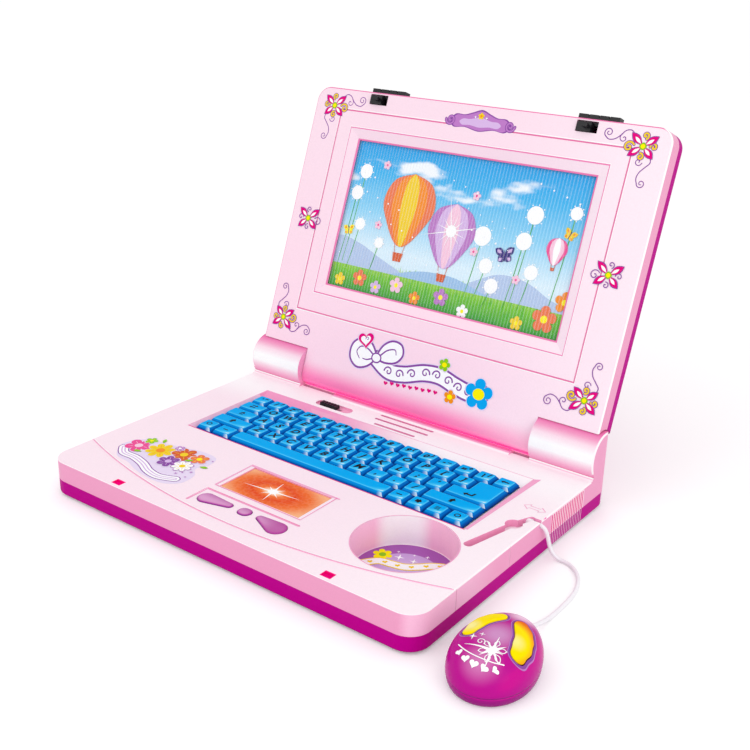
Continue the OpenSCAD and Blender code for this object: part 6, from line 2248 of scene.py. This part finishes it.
@dataclass
class LidPrint:
    """Everything printed on the lid's face: frame lines of painted shade and highlight, corner flowers, a bare plaque
    and a ribbon.

    Attributes:
        groove: half the width, half the height and the middle's height of the moulded groove.
        border: how far the frame lines lie outside the window.
        slope: the width of the slope round the window.
    """

    groove: Spatial = (120.5, 78.3, SCREEN_UP - 1.4)
    border: float = 8.4
    slope: float = 8.0

    def lines(self) -> None:
        """Draws the frame lines, on the slope's edges and in the moulded groove: pink painted shade, with white
        painted highlight.
        """
        half_w, half_h, middle = self.groove
        # painted shade in the moulded groove
        groove = Print("lid_frame_line", LID_FACE.at, "lid", lift=-0.47)
        groove.line(Draw.frame(half_w, half_h, middle), 0.95, Ink.LINE_PINK, closed=True)
        groove.done()
        frame = Print("screen_frame_lines", LID_FACE.at, "lid")
        # pink painted shade on the slope's outer edge, and a white painted highlight beside it
        for out, width, tone, layer in ((0, 0.7, Ink.LINE_PINK, 0), (0.75, 0.4, Ink.WHITE, 1)):
            w, h = (size / 2 + self.border + out for size in (SCREEN_W, SCREEN_H))
            frame.line(Draw.frame(w, h, SCREEN_UP), width, tone, layer, closed=True)
        # a white painted highlight along the groove's outer lip
        frame.line(Draw.frame(half_w + 1, half_h + 1, middle), 0.5, Ink.WHITE, closed=True)
        frame.done()
        # the bead round the window, a band of pink painted shade in the crease, lies on the slope's lowest millimetre
        points = [
            LID_FACE.at(x, y, out * SCREEN_DEPTH / self.slope - SCREEN_DEPTH + lift)
            for out, lift in ((-0.05, 0.02 + 0.05 * SCREEN_DEPTH / self.slope), (1.1, 0.04))
            for x, y in Draw.frame(SCREEN_W / 2 + out, SCREEN_H / 2 + out, SCREEN_UP)]
        faces = [(i, 4 + i, 4 + (i + 1) % 4, (i + 1) % 4) for i in range(4)]
        piece("window_bead", points, faces, [0] * 4, [Ink.LINE_PINK.made()], "lid", False)

    def flowers(self) -> None:
        """Prints the six flowers."""
        ink = Print("lid_flowers", LID_FACE.at, "lid")
        for bloom in (
            CornerBloom(-128.3, 201.1), CornerBloom(127.2, 201.4, mx=-1), CornerBloom(-132.0, 32.4, my=-1),
            CornerBloom(131.0, 32.8, mx=-1, my=-1), CornerBloom(-129.3, 112.2, tendrils=False),
            CornerBloom(125.9, 116.1, mx=-1, tendrils=False),
        ):
            bloom.draw(ink)
        ink.done()

    def plaque(self) -> None:
        """Prints the bare scroll plaque over the screen."""
        ink = Print("lid_plaque", LID_FACE.at, "lid")
        x, y = 3.3, 202.0
        outline = Draw.bend([
            (-24, 0.2), (-20, 4.4), (-13, 4.6), (-7, 6.4), (0, 8.6), (7, 6.4), (13, 4.6), (20, 4.4),
            (24, 0.2), (20, -4), (11, -3.4), (0, -5.2), (-11, -3.4), (-20, -4), (-24, 0.2)])[:-1]
        for wide, tall, drop, tone, layer in (
            (1.06, 1.12, 0, Ink.PLUM, 0), (1, 1, 0, Ink.ORCHID, 1), (0.72, 0.52, 0.2, Ink.LILAC, 2),
        ):
            ink.fill(Draw.moved([(a * wide, b * tall - drop) for a, b in outline], x, y), tone, layer)
        for side in (-1, 1):
            curl = Draw.moved(Draw.curl(side * 24.6, 0.6, 3.9, 0.8, 90 - side * 90, -side * 470), x, y)
            ink.line(curl, 2.2, Ink.PLUM, 3)
            ink.line(curl, 1.1, Ink.ORCHID, 4)
        ink.fill(Draw.blossom(x, y + 5.2, 2.5, 5, 90), Ink.GOLD, 4)
        ink.fill(Draw.oval(x, y + 5.2, 0.9), Ink.ORANGE, 5)
        for side in (-1, 1):
            ink.fill(Draw.star(x + side * 4.6, y + 4.2, 1.2, 0.3), Ink.WHITE, 4)
        ink.done()

    def ribbon(self) -> None:
        """Prints the broad white bow and band with a heart and three round flowers under the screen."""
        ink = Print("lid_ribbon", LID_FACE.at, "lid")
        band = Draw.bend(
            [(-37, 21), (-24, 14.5), (-10, 15.5), (6, 20.5), (20, 21.5), (34, 18), (46, 16), (56, 18)], 10)
        for width, tone, layer in ((14.6, Ink.HALO, 0), (13.2, Ink.PLUM, 1), (10.2, Ink.WHITE, 2)):
            ink.line(band, width, tone, layer)
        for path in (
            [(-37, 22), (-44, 30.5), (-53, 32.5), (-60, 27), (-60, 17.5), (-53, 12), (-44, 14.5), (-37, 22)],
            [(-37, 22), (-33, 31), (-26, 36), (-18, 35), (-15.5, 28.5), (-20, 22.5), (-29, 20.5), (-37, 22)],
        ):
            loop = Draw.bend(path)[:-1]
            ink.line(loop, 4.4, Ink.HALO, 0, closed=True)
            ink.line(loop, 3.0, Ink.PLUM, 3, closed=True)
            ink.fill(loop, Ink.WHITE, 4)
        for path in (
            [(-39, 22.5), (-46, 26.5), (-52.5, 27.0), (-55.5, 22.5), (-52, 18.0)],
            [(-39, 21), (-45, 18.5), (-49, 18.5)], [(-34.5, 23.5), (-29, 29), (-22.5, 31), (-20.5, 27.5)],
        ):
            ink.line(Draw.bend(path), 1.3, Ink.PLUM, 5, thin=0.5)
        # a running scroll along the band
        for i, (x, y) in enumerate((band[10:] + band[-1:] * 7)[: 9 * 7 : 7]):
            start, sweep = (0, 400) if i % 2 else (180, -400)
            ink.line(Draw.curl(x, y, 3.7, 0.6, start, sweep), 1.15, Ink.PLUM, 3, thin=0.7)
        for rx, ry, tone, layer in ((4.6, 4.0, Ink.PLUM, 5), (3.5, 2.9, Ink.WHITE, 6)):
            ink.fill(Draw.oval(-37, 21.6, rx, ry), tone, layer)
        for x, y, size, tone, layer in (
            (-49.5, 32.6, 15.6, Ink.HALO, 6), (-49.5, 32.6, 14, Ink.MAGENTA, 7),
            (-49.7, 32.4, 8.8, Ink.WHITE, 8),
        ):
            ink.fill(Draw.heart(x, y, size, 14), tone, layer)
        ink.line(Draw.curl(-48.4, 33.6, 1.6, 0.4, 200, -330), 0.55, Ink.PLUM, 9)
        for x, y, r, petal, turn in (
            (53.6, 17, 11.2, Ink.SKY, 20), (31.6, 9.4, 5, Ink.ORANGE, 90), (21.4, 30.4, 4.8, Ink.LIME, 80),
        ):
            ink.fill(Draw.blossom(x, y, r + 0.8, 5, turn), Ink.HALO, 4)
            ink.fill(Draw.blossom(x, y, r, 5, turn), petal, 5)
            ink.fill(Draw.oval(x, y, r * 0.42, r * 0.36), Ink.YELLOW, 6)
        for i in range(9):
            ink.fill(Draw.heart(-24 + 5.4 * i, 5.6 + 0.486 * i + 0.4 * (i % 2), 3.6, -4), Ink.MAGENTA, 3)
        ink.done()

    def build(self) -> None:
        """Prints the whole lid."""
        for part in (self.lines, self.flowers, self.plaque, self.ribbon):
            part()
        LOG.info("lid print")


@dataclass
class DeckPrint:
    """Everything printed or lined on the base: the front line, panel lines, palm sticker and cord arrow, the lines as
    painted shade.

    Attributes:
        front: the place of the front arc's centre behind the base's front, and its radius.
        keys: the left, the right, the front and the back of the keys' recess.
        slots: the left end, the right end and the place of each of the speaker's slots.
        palm: the sticker's middle and its turn in degrees.
    """

    front: Flat = (456.8 + 0.3, 446)
    keys: tuple[float, float, float, float] = (-115.6, 118.6, 94.5, 178.4)
    slots: tuple[Spatial, ...] = ((-19.5, 26, 197), (-19.5, 26, 189.8), (-14.5, 20, 182))
    palm: Spatial = (-89.0, 42.5, -2)

    def lines(self) -> None:
        """Draws the fine lines of the deck: pink painted shade and white painted highlight along its creases and
        recesses.
        """
        ink = Print("deck_lines", DECK.at, "base")
        centre, radius = self.front
        arc = [(x, centre - math.sqrt(radius ** 2 - x * x)) for x in range(-148, 149, 4)]
        # painted shade and highlight along the front step: a pink line with a white one behind it
        ink.line(arc, 0.45, Ink.SOFT_PINK, round_ends=False)
        ink.line([(x, y + 0.55) for x, y in arc], 0.5, Ink.WHITE, 1, round_ends=False)
        # painted shade along the recess of the keys: a hot pink line in front, softer ones at the sides
        x0, x1, y0, y1 = self.keys
        ring = [(x0, y0), (x1, y0), (x1, y1), (x0, y1), (x0, y0)]
        for i, (width, tone) in enumerate([(0.75, Ink.ROSE)] + [(0.5, Ink.SOFT_PINK)] * 3):
            ink.line(ring[i : i + 2], width, tone)
        # painted shade: the far side's slope shows as a band that narrows towards the front
        slope = [(x1 + 0.3, y0 + 1), (x1 + 1.6, y0 + 1), (x1 + 4.2, y1 + 2.5), (x1 + 0.3, y1)]
        ink.fill(slope, Ink.SOFT_PINK, 1)
        # the speaker's slots are lined in pink, painted shade at their edges
        for a, b, y in self.slots:
            for side in (-0.85, 0.85):
                ink.line([(a, y + side), (b, y + side)], 0.5, Ink.LINE_PINK)
        # painted shade round the light panel's recess, and on the well's rim
        ink.line([(-36, 42.0), (-36.6, 76.4), (37.4, 76.4)], 1.5, Ink.SOFT_PINK)
        ink.line([(-35.0, 41.6), (35.6, 41.2), (35.6, 76.8)], 0.7, Ink.LINE_PINK)
        ink.line(Draw.oval(100, 59.5, 32.35, n=96), 0.6, Ink.SOFT_PINK, closed=True)
        ink.done()
        # painted shade in the groove round the buttons
        ridge = Print("ridge_line", DECK.at, "base", lift=-0.46)
        ridge.line([(-36.5, 17.6), (-36.5, 35.2), (39.5, 35.2)], 1.9, Ink.SOFT_PINK)
        ridge.done()

    def arrow(self) -> None:
        """Prints the outlined double arrow beside the lead's pocket."""
        ink = Print("cord_arrow", DECK.at, "base")
        half = [(0, 1.3), (3.6, 1.3), (3.6, 3.2), (7.5, 0), (3.6, -3.2), (3.6, -1.3), (0, -1.3)]
        outline = half + [(-x, y) for x, y in half[::-1]][1:-1]
        ink.line(Draw.moved(outline, 138.6, 144.2), 0.5, Ink.SOFT_PINK, closed=True)
        ink.done()

    def put(self, points: Iterable[Flat]) -> Outline:
        """Turns the sticker's points to lie along the base's corner."""
        return Draw.moved(points, *self.palm[:2], turn=self.palm[2])

    def sticker(self) -> None:
        """Prints the palm rest's sticker: garden flowers over a looped lilac ribbon."""
        ink, put = Print("palm_sticker", DECK.at, "base"), self.put
        cloud = Draw.bend([
            (-39, 0), (-36, 12), (-26, 18), (-14, 21), (-2, 24), (12, 28), (26, 27), (30, 17), (27, 8),
            (34, 0), (35, -12), (26, -20), (12, -21), (-2, -19), (-14, -15), (-28, -13), (-39, 0)])[:-1]
        ink.fill(put(cloud), Ink.HALO)
        # ribbon along the front
        path = put(Draw.bend(
            [(-34, -2), (-27, -7.5), (-16, -7.5), (-5, -10), (6, -14.5), (17, -15.5), (28, -11)], 10))
        for layer, width, tone in (
                (1, 7.6, Ink.PLUM), (2, 6.2, Ink.WHITE), (3, 3, Ink.LILAC), (4, 1.2, Ink.WHITE)):
            ink.line(path, width, tone, layer)
        for x, y, r, n, petal, middle, turn in (
            (-28.0, 6.0, 9.6, 5, Ink.ROSE, Ink.BLUSH, 10), (-27.0, 16.6, 4.6, 5, Ink.LIME, Ink.YELLOW, 30),
            (-11.0, 10.5, 10.4, 8, Ink.GOLD, Ink.ORANGE, 0), (6.0, 16.5, 9.4, 6, Ink.RUST, Ink.GOLD, 15),
            (19.0, 18.5, 6.8, 5, Ink.CORAL, Ink.YELLOW, 50), (5.5, 3.0, 7.8, 6, Ink.PLUM, Ink.LILAC, 0),
            (18.0, 4.2, 7.2, 8, Ink.WHITE, Ink.GOLD, 0), (-3.0, 21.0, 3.6, 5, Ink.ORCHID, Ink.WHITE, 0),
        ):
            rim = Ink.ORCHID if petal is Ink.WHITE else Ink.HALO
            ink.fill(put(Draw.blossom(x, y, r + 0.7, n, turn)), rim, 4)
            ink.fill(put(Draw.blossom(x, y, r, n, turn)), petal, 5)
            for a in (math.radians(turn + 360 * i / n) for i in range(n)):
                vein = Draw.moved([Draw.polar(r * k, a) for k in (0.45, 0.75)], x, y)
                ink.line(put(vein), 0.5, middle, 6, thin=0.4)
            ink.fill(put(Draw.oval(x, y, r * 0.3)), middle, 7)
        for x, y, turn in ((-19, 1, 200), (-18, 19, 120), (12.5, 10.5, 40), (27, 11, 20)):
            ink.fill(put(Draw.petal(x, y, 0, 6.4, 2.8, turn)), Ink.LIME, 4)
        for x, y, r in ((29, 2, 1.5), (25, -2, 1.1), (31, -5, 1.0), (22.5, -5.5, 1.3), (28, 22, 1.1)):
            ink.fill(put(Draw.star(x, y, r, 0.35, 5)), Ink.ORCHID, 6)
        ink.done()

    def glint(self) -> None:
        """Lays a painted star glint of white rays on the light panel."""
        ink = Print("panel_star", DECK.at, "base", lift=-0.8 + 0.03)
        reaches = [(8 + 45 * i, reach) for i, reach in enumerate((20, 9, 15, 8, 23, 9, 15, 9))]
        ink.rays(*PANEL_STAR, reaches, 1.5, tall=0.85)
        ink.fill(Draw.oval(*PANEL_STAR, 3.6, 3.0), Ink.WHITE, 1)
        ink.done()

    def well(self) -> None:
        """Prints the well label's flower, stars and wave."""
        ink = Print("well_print", WELL_FLOOR.at, "base")
        ink.fill(Draw.blossom(-21.5, 8.0, 6.2, 6, 10), Ink.YELLOW, 1)
        ink.fill(Draw.oval(-21.5, 8.0, 2.2), Ink.LIME, 2)
        for x, y, r in (
            (-11.5, 11.5, 3.4), (-2, 13, 2.8), (-15.5, 16.5, 1.3), (-5.5, 19, 1.3), (2, 22, 1.8),
            (12, 16, 1.4),
        ):
            ink.fill(Draw.star(x, y, r, 0.25, 4, 20), Ink.WHITE, 1)
        path = Draw.bend(
            [(-25, -7), (-19, 0.5), (-11, 2.5), (-3, 4.5), (4, 10), (10, 16), (17, 19.5), (21, 17)], 10)
        ink.line(path, 7.6, Ink.GOLD, 3)
        ink.line(path, 5.8, Ink.WHITE, 4)
        for x, y in path[5:66:10]:
            ink.fill(Draw.heart(x, y, 3.4, 40), Ink.GOLD, 5)
        ink.done()

    def build(self) -> None:
        """Prints the whole base."""
        for part in (self.lines, self.arrow, self.sticker, self.glint, self.well):
            part()
        LOG.info("deck print")


@dataclass
class ScreenScene:
    """The printed scene in front of the card: hills, puff flowers, balloons, butterflies and blossoms.

    Attributes:
        half_w: half the width of the scene, a little more than the window's.
        half_h: half its height.
        seeds: the number of small pale seeds.
        skirt: the right side of a balloon from above, as shares of its radius, and of the gores on it.
    """

    half_w: float = SCREEN_W / 2 + 1.5
    half_h: float = SCREEN_H / 2 + 1.5
    seeds: int = 46
    skirt: tuple[tuple[Flat, ...], tuple[Flat, ...]] = (
        ((0.72, 0.72), (1, 0), (0.72, -0.66), (0.22, -1.3)),
        ((0.74, 0.7), (1, 0), (0.74, -0.66), (0.26, -1.3)))

    def on_card(self, u: float, v: float, lift: float) -> Vector:
        """Places a point of the scene, kept within the window's opening."""
        u, v = max(-self.half_w, min(self.half_w, u)), max(-self.half_h, min(self.half_h, v))
        return LID_FACE.at(u, SCREEN_UP + v, lift - CARD_DEPTH)

    def puff(self, ink: Print, x: float, y: float, r: float, foot: float) -> None:
        """Draws a white puff flower on a thin green stem.

        Args:
            ink: the print that it joins.
            x: its middle across the scene.
            y: its middle's height.
            r: its radius.
            foot: the height of the stem's foot.
        """
        ink.line(Draw.bend([(x, y), (x - 1.5, (y + foot) / 2), (x - 4, foot)]), 0.7, Ink.GREEN, 2, thin=0.7)
        ink.fill(Draw.oval(x, y, r, n=30), Ink.WHITE, 3)
        for a, b in (Draw.polar(1.16 * r, a) for a in turns(9)):
            ink.fill(Draw.oval(x + a, y + b, 0.5, n=8), Ink.WHITE, 3)

    def balloon(self, ink: Print, x: float, y: float, r: float, main: Ink, stripe: Ink, light: Ink) -> None:
        """Draws a striped hot-air balloon with a basket.

        Args:
            ink: the print that it joins.
            x: its middle across the scene.
            y: its middle's height.
            r: its radius.
            main: its ink.
            stripe: the ink of its broad gore.
            light: the ink of its narrow gore.
        """
        whole, gore = self.skirt
        for k, half, tone, layer in ((1, whole, main, 4), (0.66, gore, stripe, 5), (0.3, gore, light, 6)):
            side = [(k * a, b) for a, b in half]
            ring = [(0, 1), *side, *((-a, b) for a, b in side[::-1]), (0, 1)]
            ink.fill(Draw.bend([(x + a * r, y + b * r) for a, b in ring])[:-1], tone, layer)
        for side in (-r, r):
            ink.line([(x + side * 0.2, y - r * 1.3), (x + side * 0.15, y - r * 1.58)], 0.4, Ink.RUST, 4)
        basket = ((-0.2, -1.58), (0.2, -1.58), (0.15, -1.86), (-0.15, -1.86))
        ink.fill([(x + a * r, y + b * r) for a, b in basket], Ink.RUST, 5)

    def butterfly(
        self, ink: Print, x: float, y: float, size: float, wing: Ink, spot: Ink, turn: float
    ) -> None:
        """Draws a small butterfly.

        Args:
            ink: the print that it joins.
            x: its middle across the scene.
            y: its middle's height.
            size: the length of its upper wings.
            wing: the wings' ink.
            spot: the ink of the spots on them.
            turn: how far it is turned, in degrees.
        """
        for a, reach in ((35, 1.0), (-38, 0.72), (145, 1.0), (218, 0.72)):
            ink.fill(Draw.petal(x, y, 0, size * reach, size * 0.62, a + turn), wing, 5)
            ink.fill(Draw.petal(x, y, size * 0.3, size * reach * 0.5, size * 0.26, a + turn), spot, 6)
        ink.line(Draw.moved([(0, size * 0.4), (0, -size * 0.45)], x, y, turn=turn), 0.6, Ink.NAVY, 7)

    def hills(self, ink: Print) -> None:
        """Draws the three pale hills, from the horizon down.

        Args:
            ink: the print that they join.
        """
        low = -38
        for path, tone, layer in (
            ([(-101, low), (-101, -18), (-80, -20), (-58, -28), (-40, -34), (-30, low)], Ink.HILL, 0),
            ([(10, low), (24, -30), (44, -21), (66, -22), (86, -30), (101, -34)], Ink.HILL, 0),
            ([(-46, low), (-20, -31), (6, -30), (26, -34), (40, low)], Ink.HILL_NEAR, 1),
        ):
            corner = [(101, low)] if path[-1][1] > low else []
            ink.fill(Draw.bend(path) + corner, tone, layer)

    def build(self) -> None:
        """Prints the scene on the card."""
        corners = [self.on_card(x, y, 0.03) for x, y in Draw.frame(self.half_w, self.half_h)]
        piece("screen_card_face", corners, [(0, 1, 2, 3)], [0], [Stuff.CARD.made()], "lid", False)
        ink = Print("screen_scene", self.on_card, "lid", lift=0.06)
        self.hills(ink)
        for puff in (
            (-88, 34, 5.6, -36), (-92, 17, 5.4, -38), (-83, -6, 4.6, -40), (24, 3, 7, -42),
            (61, 24, 6.4, -38), (57, 5, 6.2, -42), (68, -15, 5.2, -42), (32, -17, 5.4, -40),
            (91, 30, 4.6, -34), (40, -30, 5.4, -46), (-62, -17, 4, -42),
        ):
            self.puff(ink, *puff)
        for balloon in (
            (-43, 15, 23, Ink.CORAL, Ink.ORANGE, Ink.GOLD), (-2, 2, 20, Ink.ORCHID, Ink.LILAC, Ink.BLUSH),
            (83, 4, 8, Ink.ROSE, Ink.BLUSH, Ink.WHITE),
        ):
            self.balloon(ink, *balloon)
        for x, y, r, petal in (
            (-72, -46, 6.5, Ink.CORAL), (-56, -50, 5, Ink.LILAC), (-38, -45, 6, Ink.BLUSH),
            (-20, -51, 5, Ink.ORANGE), (2, -46, 6.5, Ink.ORCHID), (22, -52, 5, Ink.WHITE),
            (86, -44, 9.5, Ink.CORAL), (66, -51, 5, Ink.GOLD), (-90, -50, 5, Ink.GOLD),
            (98, -30, 7.5, Ink.ORANGE),
        ):
            ink.fill(Draw.blossom(x, y, r, 5, 18), petal, 7)
            ink.fill(Draw.oval(x, y, r * 0.28), Ink.YELLOW, 8)
        for butterfly in (
            (45, -7, 9, Ink.NAVY, Ink.LILAC, 12), (90, 15, 6, Ink.GOLD, Ink.ORANGE, -20),
            (-92, -12, 6, Ink.YELLOW, Ink.ORANGE, 10),
        ):
            self.butterfly(ink, *butterfly)
        for x, y in ((12, 30), (-70, 41), (58, -22), (-66, -4), (20, -9)):
            ink.fill(Draw.blossom(x, y, 3.4, 5, 10), Ink.BLUSH, 4)
            ink.fill(Draw.oval(x, y, 0.9), Ink.ROSE, 5)
        # a bright star between the balloons, with thin rays
        ink.rays(-2, 2, [(15 + 30 * i, 13 if i % 3 else 26) for i in range(12)], 1.1, 9)
        ink.fill(Draw.oval(-2, 2, 4.4), Ink.WHITE, 10)
        # small pale seeds drift over the card in a fixed, even scatter
        for i in range(self.seeds):
            x, y, more = (i * step % 1.0 for step in (0.618034, 0.754878, 0.37))
            ink.fill(Draw.oval(-96 + 192 * x, -30 + 78 * y, 0.45 + 0.35 * more, n=8), Ink.WHITE, 4)
        ink.done()
        LOG.info("screen scene")


# ---- the frame's own parts


NODE_STUFF: dict[str, Stuff] = {
    "base_top_shell": Stuff.BASE, "base_bottom_shell": Stuff.MAGENTA, "battery_door": Stuff.MAGENTA,
    "battery_door_screw": Stuff.STEEL, "case_screws": Stuff.STEEL, "rubber_feet": Stuff.RUBBER,
    "batteries": Stuff.CELL, "battery_contacts": Stuff.STEEL, "main_circuit_board": Stuff.BOARD,
    "board_screws": Stuff.STEEL, "panel_lamps": Stuff.LAMP, "light_panel": Stuff.PANEL,
    "power_switch_body": Stuff.BLACK, "power_switch_thumb": Stuff.BLACK, "speaker": Stuff.SPEAKER,
    "key_guide_plate": Stuff.NATURAL, "key_membrane": Stuff.SILICONE, "key_contact_board": Stuff.BOARD,
    "keyboard_screws": Stuff.STEEL, "cord_gland": Stuff.VINYL, "mouse_strain_relief": Stuff.VINYL,
    "hinge_pin_left": Stuff.STEEL, "hinge_pin_right": Stuff.STEEL, "lid_front_frame": Stuff.LID,
    "lid_back_cover": Stuff.MAGENTA, "lid_screws": Stuff.STEEL, "screen_window": Stuff.WINDOW,
    "screen_picture_card": Stuff.CARD, "screen_backing_plate": Stuff.NATURAL, "screen_screws": Stuff.STEEL,
    "latch_left": Stuff.BLACK, "latch_right": Stuff.BLACK, "mouse_circuit_board": Stuff.BOARD,
    "mouse_screws": Stuff.STEEL, "well_label": Stuff.WELL_LABEL,
}


def dress(nodes: dict[str, bpy.types.Object]) -> None:
    """Gives each part of the frame its finish.

    Args:
        nodes: the frame's parts by name.
    """
    for name, stuff in NODE_STUFF.items():
        for slot in nodes[name].material_slots:
            slot.material = stuff.made()
    LOG.info("%d parts of the frame finished", len(NODE_STUFF))


def main() -> None:
    """Builds the whole scene in order and notes its size."""
    logging.basicConfig(level=logging.INFO, format="%(name)s: %(message)s")
    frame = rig.load()
    box = [list(corner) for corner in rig.bounds()]
    studio = Studio()
    studio.camera()
    MouseLead().lay()
    studio.light()
    studio.floor()
    dress(frame["nodes"])
    Keyboard().build()
    DeckButtons().build()
    Mouse().build()
    LidPrint().build()
    DeckPrint().build()
    ScreenScene().build()
    sizes = {"frame": box, "scene": [list(corner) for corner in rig.bounds()]}
    with open("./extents.json", "w", encoding="utf-8") as out:
        json.dump(sizes, out)


if __name__ == "__main__":
    main()
